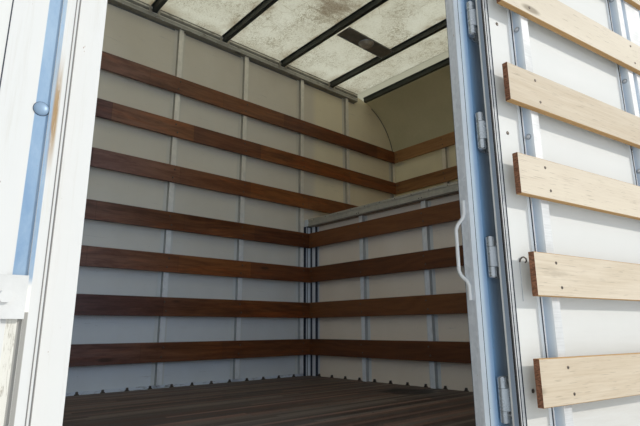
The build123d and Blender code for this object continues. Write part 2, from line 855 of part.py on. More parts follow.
def lock_rod(z0, z1, handle_z):
    """Upright lock rod on a leaf in the X = 0 plane, standing towards +X, its lever lying towards +Y."""
    out = LOCK_STAND + GUIDE_CAP
    guide = [
        (0, -GUIDE_FOOT),
        (GUIDE_SHEET, -GUIDE_FOOT),
        (GUIDE_SHEET, -GUIDE_FLANK),
        (out, -GUIDE_CAP),
        (out, GUIDE_CAP),
        (GUIDE_SHEET, GUIDE_FLANK),
        (GUIDE_SHEET, GUIDE_FOOT),
        (0, GUIDE_FOOT),
    ]
    cam = [
        (LOCK_STAND - CAM_HALF, -CAM_HALF),
        (LOCK_STAND - CAM_HALF, CAM_HALF),
        (LOCK_STAND + CAM_HALF, CAM_NOSE),
        (LOCK_STAND + CAM_OUT, CAM_NOSE / 2),
        (LOCK_STAND + CAM_OUT, -CAM_HALF),
    ]
    back = LOCK_STAND + LEVER_OUT
    front = back + LEVER_THICK
    grip = LOCK_LEVER - LEVER_GRIP
    lever = [
        (back, HUB_HALF - 1),
        (back, grip),
        (back - LEVER_TIP, LOCK_LEVER - LEVER_TIP),
        (back - LEVER_TIP, LOCK_LEVER),
        (front - LEVER_TIP - LEVER_BEND, LOCK_LEVER),
        (front - LEVER_TIP - LEVER_BEND, LOCK_LEVER - LEVER_TIP + LEVER_BEND),
        (front, grip + LEVER_BEND),
        (front, HUB_HALF - 1),
    ]
    near = LOCK_LEVER - CATCH_SETBACK - CATCH_WIDTH
    half = LEVER_HEIGHT / 2
    pieces = [barrel(z0, z1, LOCK_R, LOCK_STAND, 0)]
    for share in GUIDE_SHARES:
        z = z0 + (z1 - z0) * share
        pieces.append(along_z(guide, z - GUIDE_HEIGHT / 2, z + GUIDE_HEIGHT / 2))
    pieces += [along_z(cam, z0, z0 + CAM_HALF), along_z(cam, z1 - CAM_HALF, z1)]
    lever_z = (handle_z - half, handle_z + half)
    pieces.append(block((LOCK_STAND - HUB_HALF, front), (-HUB_HALF, HUB_HALF), lever_z))
    pieces.append(along_z(lever, *lever_z))
    catch_z = (handle_z - CATCH_HEIGHT / 2, handle_z + CATCH_HEIGHT / 2)
    pieces.append(block((0, LOCK_STAND + CAM_HALF - 2), (near, near + CATCH_WIDTH), catch_z))
    return fused(pieces)


def side_door_lock():
    """Lock on the outer face of the leaf near its free edge, with the lever lying towards the hinges."""
    lock = lock_rod(LEAF_Z[0] + LOCK_END, LEAF_Z[1] - LOCK_END, FLOOR + SIDE_LOCK_HEIGHT)
    return Pos(SIDE, DOOR_REAR + SIDE_LOCK_INSET, 0) * lock


# Rear frame and doors

REAR_AXIS_X = SIDE - REAR_AXIS_IN
REAR_AXIS_Y = REAR - REAR_GAP - REAR_LEAF - REAR_AXIS_OUT
REAR_FOOT = FLOOR - REAR_LAP
REAR_HEAD = ROOF_TOP - REAR_HEADER + REAR_LAP


def rear_hinge_heights():
    step = (REAR_HEAD - REAR_FOOT) / REAR_HINGES
    return [REAR_FOOT + step * (i + 0.5) for i in range(REAR_HINGES)]


def rear_fixed_hinge(z):
    """Bracket on the right rear post with two rounded ears for the pin."""
    half = HINGE_LENGTH / 2
    gap = HINGE_LENGTH / 4 + KNUCKLE_GAP
    room = REAR_AXIS_Y + 2 * REAR_KNUCKLE_R
    inner = SIDE - REAR_BRACKET
    pieces = [block((inner, inner + REAR_EAR - REAR_AXIS_IN), (room, REAR + 1), (z - half, z + half))]
    ear = curled([(inner, REAR), (inner + REAR_EAR, REAR)], (REAR_AXIS_X, REAR_AXIS_Y), REAR_KNUCKLE_R)
    for low, high in ((z - half, z - gap), (z + gap, z + half)):
        pieces.append(along_z(ear, low, high))
    return pieces


def rear_frame():
    """Welded portal: posts, header with a gutter, sill with lamp recesses, hinge brackets, lock keepers."""
    foot = SILL_HEIGHT - RAIL_FOOT
    header = ROOF_TOP - REAR_HEADER
    post = block((SIDE - REAR_POST, SIDE), (REAR, REAR_INNER), (foot, ROOF_TOP))
    head = along_x(
        [
            (REAR, header),
            (REAR, ROOF_TOP - 2 * GUTTER),
            (REAR - GUTTER, ROOF_TOP - GUTTER),
            (REAR - GUTTER, ROOF_TOP),
            (REAR_INNER, ROOF_TOP),
            (REAR_INNER, header),
        ],
        -SIDE,
        SIDE,
    )
    sill = block((-SIDE, SIDE), (REAR, REAR_INNER), (foot, FLOOR))
    pieces = [post, mirrored(post), head, sill]
    for z in rear_hinge_heights():
        for part in rear_fixed_hinge(z):
            pieces += [part, mirrored(part)]
    keeper_x = (REAR_LOCK_PLACE - REAR_KEEPER_HALF, REAR_LOCK_PLACE + REAR_KEEPER_HALF)
    for low in (REAR_FOOT - DOOR_GAP - REAR_KEEPER_HEIGHT, REAR_HEAD + DOOR_GAP):
        keeper = block(keeper_x, (REAR - REAR_GAP - REAR_LEAF, REAR), (low, low + REAR_KEEPER_HEIGHT))
        pieces += [keeper, mirrored(keeper)]
    return fused(pieces)


def rear_leaf():
    """Right rear leaf: edge trim round a recessed core on both faces, and the hinge straps."""
    x = (REAR_MEET, SIDE - REAR_BRACKET - REAR_GAP)
    z = (REAR_FOOT, REAR_HEAD)
    outer = REAR - REAR_GAP - REAR_LEAF
    inner = REAR - REAR_GAP
    core_x = (x[0] + REAR_TRIM, x[1] - REAR_TRIM)
    core_z = (z[0] + REAR_TRIM, z[1] - REAR_TRIM)
    leaf = block(x, (outer, inner), z)
    leaf -= block(core_x, (inner - REAR_RECESS, inner + 1), core_z)
    leaf -= block(core_x, (outer - 1, outer + RAIL_FOOT), core_z)
    pieces = [leaf]
    for z in rear_hinge_heights():
        quarter = HINGE_LENGTH / 4
        strap = [
            (x[1] - RAIL_FOOT, outer - REAR_STRAP_THICK),
            (x[1] - REAR_TRIM, outer - REAR_STRAP_THICK),
            (x[1] - REAR_STRAP, outer - REAR_STRAP_THICK / 2),
            (x[1] - REAR_STRAP, outer + RAIL_FOOT),
            (x[1] - REAR_TRIM, outer + RAIL_FOOT),
            (x[1] - REAR_TRIM, outer),
            (x[1] - RAIL_FOOT / 2, outer),
        ]
        curl = curled(strap, (REAR_AXIS_X, REAR_AXIS_Y), REAR_KNUCKLE_R)
        pieces.append(along_z(curl, z - quarter, z + quarter))
    return fused(pieces)


def rear_lock():
    """Lock on the right rear leaf; its lever lies towards the hinges."""
    outer = REAR - REAR_GAP - REAR_LEAF + RAIL_FOOT
    lock = lock_rod(REAR_FOOT + REAR_LOCK_END, REAR_HEAD - REAR_LOCK_END, FLOOR + REAR_LOCK_HEIGHT)
    return Pos(REAR_LOCK_PLACE, outer, 0) * Rotation(0, 0, -90) * lock


def lamp_row(y0, y1, z):
    """Five marker lamps across the body: three together and one at each side."""
    half = MARKER_SIZE / 2
    side = SIDE - MARKER_INSET
    lamps = []
    for x in (-side, -MARKER_PITCH, 0, MARKER_PITCH, side):
        lamps.append(block((x - half, x + half), (y0, y1), (z - MARKER_HEIGHT / 2, z + MARKER_HEIGHT / 2)))
    return lamps


def rear_lamps():
    """Marker lamps on the header and a stop lamp at each end of the sill."""
    lamps = lamp_row(REAR - MARKER_DEPTH, REAR, ROOF_TOP - REAR_HEADER / 3)
    z = (SILL_HEIGHT + RAIL_FOOT, REAR_FOOT - RAIL_FOOT)
    end = SIDE - MARKER_INSET / 2
    stop = block((end - STOP_LAMP, end), (REAR - MARKER_DEPTH, REAR), z)
    return group([*lamps, stop, mirrored(stop)])


def nose_lamps():
    """Marker lamps across the nose, just under its curve."""
    front = NOSE_SKIN + SHELL
    return group(lamp_row(front, front + NOSE_MARKER_DEPTH, NOSE_SPRING - NOSE_MARKER_DROP))


right_posts = wall_posts(post_places(True))
left_posts = [mirrored(post) for post in wall_posts(post_places(False))]
doorway_cut = block((RAIL_INNER - 1, SIDE + 1), (JAMB_REAR, JAMB_FRONT), (PANEL_FOOT, LIP_TOP + POST_LIFT))
cross_count = int((BULK_SKIN - REAR_INNER - CROSS_FLANGE) / CROSS_PITCH) + 1
cross_first = (REAR_INNER + BULK_SKIN - (cross_count - 1) * CROSS_PITCH) / 2

PARTS = {
    "long_sill_left": mirrored(long_sill()),
    "long_sill_right": long_sill(),
    "cross_members": group([cross_member(cross_first + i * CROSS_PITCH) for i in range(cross_count)]),
    "bottom_rail_left": mirrored(bottom_rail()),
    "bottom_rail_right": bottom_rail() - doorway_cut,
    "floor_boards": floor_boards(),
    "panel_left": left_panel(),
    "posts_left": group(left_posts),
    "slats_left": left_slats(),
    "panel_right": right_panel(),
    "posts_right": group(right_posts),
    "slats_right": right_slats(),
    "bulkhead_panel": block((-SIDE_SKIN, SIDE_SKIN), (BULK_SKIN, FRONT), (SILL_HEIGHT, DECK_UNDER)),
    "bulkhead_posts": cross_posts(BULK_SKIN, FLOOR, DECK_UNDER),
    "bulkhead_slats": cross_slats(BULK_SLAT, BULK_POST, LOW_SLATS),
    "attic_deck": attic_deck(),
    "attic_rail": attic_rail(),
    "nose_panel": along_x(nose_section(SHELL), -SIDE, SIDE),
    "nose_posts": cross_posts(NOSE_SKIN, DECK_TOP, NOSE_SPRING),
    "nose_slats": cross_slats(NOSE_SLAT, NOSE_POST, HIGH_SLATS),
    "top_rail_left": mirrored(top_rail()),
    "top_rail_right": top_rail(),
    "roof_bows": roof_bows(),
    "roof_sheet": block(
        (TOP_RAIL_RADIUS - SIDE, SIDE - TOP_RAIL_RADIUS),
        (REAR_INNER, NOSE_START),
        (ROOF, ROOF_TOP),
    ),
    "roof_lamps": roof_lamps(),
    "side_frame": side_frame(),
    "side_hinges_fixed": group([fixed_hinge(z) for z in hinge_heights()]),
    "grab_handle": grab_handle(),
    "latch_keeper": latch_keeper(),
    "side_door_panel": swung(side_door_panel()),
    "side_door_frame": swung(side_door_frame()),
    "side_door_slats": swung(side_door_slats()),
    "side_door_seal": swung(side_door_seal()),
    "side_door_hinges": swung(group([moving_hinge(z) for z in hinge_heights()])),
    "side_door_lock": swung(side_door_lock()),
    "rear_frame": rear_frame(),
    "rear_door_right": rear_leaf(),
    "rear_door_left": mirrored(rear_leaf()),
    "rear_lock_right": rear_lock(),
    "rear_lock_left": mirrored(rear_lock()),
    "nose_lamps": nose_lamps(),
    "rear_lamps": rear_lamps(),
}

for name, shape in PARTS.items():
    export_step(shape, f"parts/{name}.step")
    print(name, len(shape.solids()), round(shape.volume / 1e6, 1))
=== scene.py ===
"""Looks of the box truck cargo body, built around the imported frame.

Metres, in the row frame: X to the kerb side, Y forward, Z up.
"""
import math
from functools import reduce
from itertools import product

import bmesh
import bpy
from mathutils import Matrix, Vector


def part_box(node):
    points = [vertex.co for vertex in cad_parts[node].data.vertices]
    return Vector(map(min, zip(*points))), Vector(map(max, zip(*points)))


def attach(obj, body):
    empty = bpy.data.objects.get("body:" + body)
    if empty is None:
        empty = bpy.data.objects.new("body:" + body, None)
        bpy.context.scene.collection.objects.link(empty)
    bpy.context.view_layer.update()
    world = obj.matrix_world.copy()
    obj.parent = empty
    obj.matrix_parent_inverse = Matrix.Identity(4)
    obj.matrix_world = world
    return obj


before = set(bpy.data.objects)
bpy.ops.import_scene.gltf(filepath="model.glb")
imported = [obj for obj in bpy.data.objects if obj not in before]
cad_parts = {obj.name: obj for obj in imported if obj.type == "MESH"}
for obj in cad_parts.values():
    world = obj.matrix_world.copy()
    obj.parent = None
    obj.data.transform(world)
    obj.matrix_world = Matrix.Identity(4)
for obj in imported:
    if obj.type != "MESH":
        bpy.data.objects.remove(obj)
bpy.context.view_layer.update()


def row(start, step, count):
    """So many places, one step apart."""
    return tuple(start + step * i for i in range(count))


def each(values):
    """A number as a list of one; other values as they are."""
    return (values,) if isinstance(values, (int, float)) else values


def about(centres, *offsets):
    """Places at each offset from each centre."""
    return [centre + offset for centre in each(centres) for offset in offsets]


def steps(start, stop, step):
    """Places from start until stop, one step apart."""
    while start < stop:
        yield start
        start += step


# Planes read from the frame
SIDE = -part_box("panel_left")[0].x
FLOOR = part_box("floor_boards")[1].z
SLAT_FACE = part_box("slats_right")[0].x
POST_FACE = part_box("slats_right")[1].x
SKIN_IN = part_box("panel_right")[0].x
BULK_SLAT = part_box("bulkhead_slats")[0].y
BULK_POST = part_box("bulkhead_slats")[1].y
BULK_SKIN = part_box("bulkhead_panel")[0].y
NOSE_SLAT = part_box("nose_slats")[0].y
NOSE_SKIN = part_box("nose_posts")[1].y
NOSE_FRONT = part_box("nose_panel")[1].y
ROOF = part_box("roof_sheet")[0].z
TOP_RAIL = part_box("top_rail_right")[0].z
DECK_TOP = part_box("attic_deck")[1].z

# Places shared with the part's source
REAR = -3.05
REAR_FACE = -3.1
FRONT = 3.05
SLAT_Z = (0.381, 0.685, 0.989, 1.293, 1.648, 2.003, 2.358)
LOW_SLATS = SLAT_Z[:4]
HIGH_SLATS = SLAT_Z[4:]
POST_PITCH = 0.61
FIRST_POST = 2.301
POST_COUNT = 9
CORNER_POST = 2.927
ATTIC_POSTS = (3.521, 4.213)
CROSS_POSTS = (-0.62, 0.0, 0.62)
DOORWAY = (0.285, 1.637)
BOW_PITCH = 0.612
BOWS = row(3.289, -BOW_PITCH, 11)
AXIS = (1.3155, 1.546)
OPEN_ANGLE = 170.5
LEAF_Y = (0.381, 1.541)
LEAF_Z = (0.219, 2.869)
DOOR_POSTS = (1.341, 0.637)
STILE = 0.526
DOOR_LOCK = 0.479
DOOR_BOLTS = (0.42, 0.812, 1.205, 1.6, 1.99, 2.385, 2.72)
HINGES = row(0.401, 0.4, 7)
REAR_AXIS = (1.292, -3.112)
REAR_FOOT = 0.15
REAR_HEAD = 2.93
REAR_LOCK = 0.6
LOCK_GUIDES = (0.16, 0.8)
LAMP_X = (-1.2055, -0.16, 0.0, 0.16, 1.2055)
NOSE_CENTRE = (3.66, 2.385)
NOSE_RADIUS = 0.61
LOAD_CENTRE = (0, 0.3, 1.5)
ATTIC_CENTRE = (0, 3.2, 2.1)

# Directions and sides
OUT = (1, 0, 0)
IN = (-1, 0, 0)
FORWARD = (0, 1, 0)
BACK = (0, -1, 0)
UP = (0, 0, 1)
DOWN = (0, 0, -1)
SIDES = ((-1, "left"), (1, "right"))

# Small parts
RIVET_STEP = 0.1017
BESIDE_POST = (-0.032, 0.032)
JAMB_BOLT = (1.2912, 0.3406)
JAMB_BOLTS = (0.9155, 1.6, 2.2, 2.75)
HINGE_SCREWS = (0.036, 0.06)
GUIDE_BOLTS = (-0.037, 0.037)
KNUCKLE_END = 0.059
CLIP_BACK = 1.2842
CLIP_DEPTH = 0.012
CLIP_STEP = 0.1525
CLIP = ((-0.014, 0.0), (-0.013, 0.004), (-0.008, 0.007), (-0.005, 0.021), (0.005, 0.021), (0.008, 0.007),
        (0.013, 0.004), (0.014, 0.0))

# Camera, solved from the lines of the slats, floor, posts and roof bows in the photograph
CAMERA_PLACE = (2.0709, 0.2023, 0.5963)
CAMERA_HEADING = 48.562
CAMERA_PITCH = 13.194
CAMERA_ROLL = -0.315
CAMERA_LENS = 27.74
SENSOR = 36.0


def change(thing, **values):
    for key, value in values.items():
        setattr(thing, key, value)
    return thing


def link(name, data):
    """New object of the data, in the scene."""
    obj = bpy.data.objects.new(name, data)
    bpy.context.scene.collection.objects.link(obj)
    return obj


def aim(obj, direction):
    """Turn a light so that it shines from the direction."""
    obj.rotation_euler = Vector(direction).to_track_quat("Z", "Y").to_euler()


# Camera

def make_camera():
    data = change(bpy.data.cameras.new("camera"), lens=CAMERA_LENS, sensor_width=SENSOR,
                  sensor_fit="HORIZONTAL", clip_start=0.01, clip_end=100)
    yaw, pitch, roll = (math.radians(angle) for angle in (CAMERA_HEADING, CAMERA_PITCH, CAMERA_ROLL))
    forward = Vector((-math.sin(yaw) * math.cos(pitch), math.cos(yaw) * math.cos(pitch), math.sin(pitch)))
    level = Vector((math.cos(yaw), math.sin(yaw), 0))
    upright = level.cross(forward)
    right = level * math.cos(roll) + upright * math.sin(roll)
    up = upright * math.cos(roll) - level * math.sin(roll)
    turn = Matrix((right, up, -forward)).transposed().to_4x4()
    camera = link("camera", data)
    camera.matrix_world = Matrix.Translation(CAMERA_PLACE) @ turn
    bpy.context.scene.camera = camera


# Light

def make_light():
    world = bpy.data.worlds.new("studio")
    world.use_nodes = True
    tree = world.node_tree
    sky = tree.nodes["Background"]
    sky.inputs["Color"].default_value = (0.84, 0.93, 1.0, 1)
    sky.inputs["Strength"].default_value = 0.8
    white = tree.nodes.new("ShaderNodeBackground")
    white.inputs["Color"].default_value = (1, 1, 1, 1)
    seen = tree.nodes.new("ShaderNodeLightPath").outputs
    shown = seen["Is Camera Ray"]
    for ray in ("Is Transmission Ray", "Is Glossy Ray"):
        either = tree.nodes.new("ShaderNodeMath")
        either.operation = "MAXIMUM"
        tree.links.new(seen[ray], either.inputs[0])
        tree.links.new(shown, either.inputs[1])
        shown = either.outputs[0]
    mix = tree.nodes.new("ShaderNodeMixShader")
    tree.links.new(shown, mix.inputs["Fac"])
    tree.links.new(sky.outputs[0], mix.inputs[1])
    tree.links.new(white.outputs[0], mix.inputs[2])
    tree.links.new(mix.outputs[0], tree.nodes["World Output"].inputs["Surface"])
    bpy.context.scene.world = world
    sun = bpy.data.lights.new("key", "SUN")
    change(sun, energy=2.1, angle=math.radians(1.5), color=(1.0, 0.96, 0.88))
    aim(link("key", sun), (0.7, 0.57, 0.42))
    soft = bpy.data.lights.new("doorway", "AREA")
    change(soft, shape="RECTANGLE", size=0.9, size_y=2.4, energy=10, color=(0.44, 0.67, 1.0))
    window = link("doorway", soft)
    change(window, location=(SLAT_FACE - 0.03, 0.97, 1.5), visible_camera=False)
    aim(window, OUT)


def make_stage():
    mesh = bpy.data.meshes.new("floor")
    bm = bmesh.new()
    bmesh.ops.create_grid(bm, x_segments=2, y_segments=2, size=30)
    bm.to_mesh(mesh)
    bm.free()
    ground = link("floor", mesh)
    ground.location = (0, 0, -0.002)
    paint = Paint("stage_floor")
    paint.colour = (0.8, 0.8, 0.8)
    paint.finish(0.7)
    mesh.materials.append(paint.mat)


# Materials

def shade(colour, *factors):
    """Colour times one factor, or times one for each channel."""
    return tuple(c * k for c, k in zip(colour, factors * 3))


class Paint:
    """One material: short calls for its nodes, and a colour that layers are laid on."""

    def __init__(self, name):
        self.name = name
        self.mat = bpy.data.materials.new(name)
        self.mat.use_nodes = True
        self.tree = self.mat.node_tree
        self.shader = self.tree.nodes["Principled BSDF"]
        coords = self.tree.nodes.new("ShaderNodeTexCoord")
        self.place = coords.outputs["Object"]
        self.normal = coords.outputs["Normal"]
        self.colour = None

    def put(self, socket, value):
        if isinstance(value, bpy.types.NodeSocket):
            self.tree.links.new(value, socket)
        elif isinstance(value, tuple) and len(value) == 3 and socket.type == "RGBA":
            socket.default_value = (*value, 1)
        else:
            socket.default_value = value

    def add(self, kind, inputs, **settings):
        node = change(self.tree.nodes.new(kind), **settings)
        for key, value in inputs.items():
            self.put(node.inputs[key], value)
        return node

    def math(self, op, a, b=0.0, c=0.0):
        return self.add("ShaderNodeMath", {0: a, 1: b, 2: c}, operation=op).outputs[0]

    def vector(self, op, a, b):
        return self.add("ShaderNodeVectorMath", {0: a, 1: b}, operation=op).outputs

    def join(self, *parts):
        return self.add("ShaderNodeCombineXYZ", dict(enumerate(parts))).outputs[0]

    def axes(self, vector=None):
        return self.add("ShaderNodeSeparateXYZ", {0: vector or self.place}).outputs

    # Numbers and masks

    def plus(self, a, b):
        return self.math("ADD", a, b)

    def minus(self, a, b):
        return self.math("SUBTRACT", a, b)

    def over(self, a, b):
        return self.math("DIVIDE", a, b)

    def absolute(self, a):
        return self.math("ABSOLUTE", a)

    def above(self, a, b):
        return self.math("GREATER_THAN", a, b)

    def below(self, a, b):
        return self.math("LESS_THAN", a, b)

    def linear(self, a, k, b):
        """a times k, plus b."""
        return self.math("MULTIPLY_ADD", a, k, b)

    def times(self, *values):
        """Product of numbers, or one where all masks are one."""
        return reduce(lambda a, b: self.math("MULTIPLY", a, b), values)

    def any_of(self, *masks):
        return reduce(lambda a, b: self.math("MAXIMUM", a, b), masks)

    def rest(self, mask):
        return self.minus(1.0, mask)

    def spread(self, value, low, high, out_low=0.0, out_high=1.0):
        values = {"Value": value, "From Min": low, "From Max": high, "To Min": out_low, "To Max": out_high}
        return self.add("ShaderNodeMapRange", values, interpolation_type="SMOOTHSTEP").outputs[0]

    def fade(self, value, low, high):
        """One below low, nought above high."""
        return self.spread(value, low, high, 1.0, 0.0)

    def band(self, value, low, high, soft):
        """One between low and high, nought outside."""
        rise = self.spread(value, low - soft, low + soft)
        return self.times(rise, self.fade(value, high - soft, high + soft))

    def inside(self, centre):
        """One where the surface faces the centre."""
        away = self.vector("SUBTRACT", self.place, centre)[0]
        return self.below(self.vector("DOT_PRODUCT", away, self.normal)["Value"], 0.0)

    def faces(self, axis):
        """How squarely the surface faces along one axis, 0 to 1."""
        return self.absolute(self.axes(self.normal)[axis])

    # Patterns

    def noise(self, vector, scale=1.0, detail=4.0, rough=0.55, twist=0.0):
        values = {"Vector": vector, "Scale": scale, "Detail": detail, "Roughness": rough}
        return self.add("ShaderNodeTexNoise", {**values, "Distortion": twist}).outputs[0]

    def grain(self, factors, *values):
        """Noise drawn out by a factor for each axis."""
        return self.noise(self.vector("MULTIPLY", self.place, factors)[0], 1.0, *values)

    def cells(self, vector, scale, feature="F1", output="Distance"):
        values = {"Vector": vector, "Scale": scale}
        return self.add("ShaderNodeTexVoronoi", values, feature=feature).outputs[output]

    def spangle(self, scale):
        vector = self.vector("MULTIPLY", self.place, (1, 1, 0.6))[0]
        return self.axes(self.cells(vector, scale, output="Color"))[0]

    def pick(self, *numbers):
        """A steady random number for whole-number inputs."""
        values = {"Vector": self.join(*numbers)}
        return self.add("ShaderNodeTexWhiteNoise", values, noise_dimensions="3D").outputs[0]

    # Colours

    def blend(self, share, a, b, kind="MIX"):
        node = self.add("ShaderNodeMix", {}, data_type="RGBA", blend_type=kind)
        for index, value in ((0, share), (6, a), (7, b)):
            self.put(node.inputs[index], value)
        return node.outputs[2]

    def between(self, value, low, high, a, b):
        return self.blend(self.spread(value, low, high), a, b)

    def ramp(self, value, stops):
        node = self.add("ShaderNodeValToRGB", {"Fac": value})
        band = node.color_ramp
        while len(band.elements) < len(stops):
            band.elements.new(0.5)
        for element, (place, colour) in zip(band.elements, stops):
            element.position = place
            element.color = (*colour, 1)
        return node.outputs["Color"]

    def lay(self, mask, colour, share=None):
        """Lay a colour on, by the mask or a share of it."""
        if share is not None:
            mask = self.times(mask, share)
        self.colour = self.blend(mask, self.colour, colour)

    def tint(self, mask, factors, share=None):
        """Multiply the colour by factors, by the mask or a share of it."""
        self.lay(mask, self.blend(1.0, self.colour, factors, "MULTIPLY"), share)

    # Shader

    def bump(self, height, depth, strength):
        node = self.add("ShaderNodeBump", {"Height": height, "Distance": depth, "Strength": strength})
        self.put(self.shader.inputs["Normal"], node.outputs[0])

    def glow(self, share, colour):
        """Let light through a share of the sheet."""
        sheer = self.add("ShaderNodeBsdfTranslucent", {"Color": colour}).outputs[0]
        mix = self.add("ShaderNodeMixShader", {0: share, 1: self.shader.outputs[0], 2: sheer})
        self.put(self.tree.nodes["Material Output"].inputs["Surface"], mix.outputs[0])

    def closed(self):
        """Places and normals of the open side door turned back to the closed pose."""
        turn = {"Center": (*AXIS, 0), "Axis": UP, "Angle": -math.radians(OPEN_ANGLE)}
        self.place = self.add("ShaderNodeVectorRotate", {"Vector": self.place, **turn}).outputs[0]
        turn["Center"] = (0, 0, 0)
        self.normal = self.add("ShaderNodeVectorRotate", {"Vector": self.normal, **turn}).outputs[0]

    def finish(self, rough, metal=0.0, specular=0.5, coat=0.0):
        for name, value in (("Base Color", self.colour), ("Roughness", rough), ("Metallic", metal),
                            ("Specular IOR Level", specular), ("Coat Weight", coat)):
            self.put(self.shader.inputs[name], value)
        materials[self.name] = self.mat


def sheet_paint(name, outer, inner, centre=LOAD_CENTRE, door=False, attic_tone=None):
    """White painted sheet, clean outside with road dirt low down, scuffed inside; inside, painted light:
    bluish skylight low on the walls, and a darker upper part on the door.
    """
    p = Paint(name)
    facing = p.inside(centre)
    if door:
        p.closed()
    height = p.axes()[2]
    cloud = p.grain((1.3, 1.3, 0.8), 5, 0.6)
    streak = p.grain((2, 2, 26), 6, 0.7)
    scuff = p.spread(p.grain((5, 3.5, 60), 8, 0.75, 0.4), 0.6, 0.72)
    speck = p.fade(p.cells(p.place, 38), 0.035, 0.06)
    rare = p.above(p.noise(p.place, 6, 2), 0.56)
    p.colour = p.between(cloud, 0.35, 0.7, outer, shade(outer, 0.96))
    dirt = p.times(p.fade(height, 0.15, 0.75), p.spread(streak, 0.3, 0.7, 0.15, 0.6))
    p.lay(dirt, shade(outer, 0.74, 0.7, 0.64))
    outside = p.colour
    inner_and_light = inner
    # Painted light inside the walls: bluish skylight towards the foot, fading into the warm inner colour
    # above; forward of 3.1 m the attic tone.
    if attic_tone:
        inner_and_light = p.between(height, 0.3, 1.9, (0.79, 0.82, 0.85), inner)
        inner_and_light = p.between(p.axes()[1], 3.05, 3.15, inner_and_light, attic_tone)
    p.colour = p.blend(p.spread(cloud, 0.3, 0.75, 0.0, 0.75), inner_and_light, (0.88, 0.85, 0.8), "MULTIPLY")
    p.lay(scuff, (0.36, 0.33, 0.3), 0.35)
    p.lay(p.times(speck, rare), (0.22, 0.18, 0.14))
    # Painted shade: the door leaf's upper part a little darker, evening out the stronger light up there.
    if door:
        p.tint(p.spread(height, 0.7, 1.5), (0.92, 0.92, 0.93))
    p.colour = p.blend(facing, outside, p.colour)
    p.bump(p.grain((2.2, 2.2, 2.2), 3, 0.4), 0.006, 0.5)
    p.finish(p.spread(streak, 0.2, 0.8, 0.5, 0.7), 0.0, 0.08 if door else 0.25)


def zinc_paint(name, colour, skin=None, rough=0.38):
    """Galvanised steel with its spangle; feet against the sheet are painted with it; flanks darkened as
    painted shade, and the colour warmer towards the head as painted roof light.
    """
    p = Paint(name)
    spangle = p.spangle(55)
    stain = p.grain((6, 6, 1.2), 5, 0.65)
    worn = p.linear(spangle, 0.5, p.spread(stain, 0.35, 0.75, 0.0, 0.5))
    p.colour = p.blend(worn, colour, shade(colour, 0.82))
    metal = 0.2
    if skin:
        axis, plane = skin
        # Painted shade: the flanks darkened.
        p.lay(p.spread(p.faces(1 - axis), 0.4, 0.7), (0.3, 0.3, 0.29), 0.75)
        foot = p.spread(p.absolute(p.axes()[axis]), plane - 0.0045, plane - 0.0035)
        p.lay(foot, (0.74, 0.74, 0.71))
        metal = p.times(p.rest(foot), metal)
    # Painted light: warmer towards the head for the warm roof light.
    p.tint(p.spread(p.axes()[2], 0.9, 2.0), (1.0, 0.9, 0.74))
    p.bump(p.noise(p.place, 90, 3), 0.0004, 0.6)
    p.finish(p.spread(spangle, 0.0, 1.0, rough - 0.07, rough + 0.12), metal)


# Painted shade and sky reflection on the door's post flanks, from the sheet inwards, and painted bands of
# light and shade inside the top rail from foot to head
FLANK_SHADE_TONES = ((0.05, (0.5, 0.6, 0.74)), (0.3, (0.56, 0.65, 0.76)), (0.7, (0.66, 0.73, 0.8)),
              (1.0, (0.86, 0.89, 0.92)))
RAIL_LIGHT_BANDS = ((0.0, 0.4), (0.1, 0.4), (0.14, 0.8), (0.4, 0.75), (0.44, 1.2), (0.5, 1.2), (0.54, 0.35),
              (0.74, 0.4), (0.78, 1.5), (0.88, 1.5), (0.92, 0.45), (1.0, 0.45))


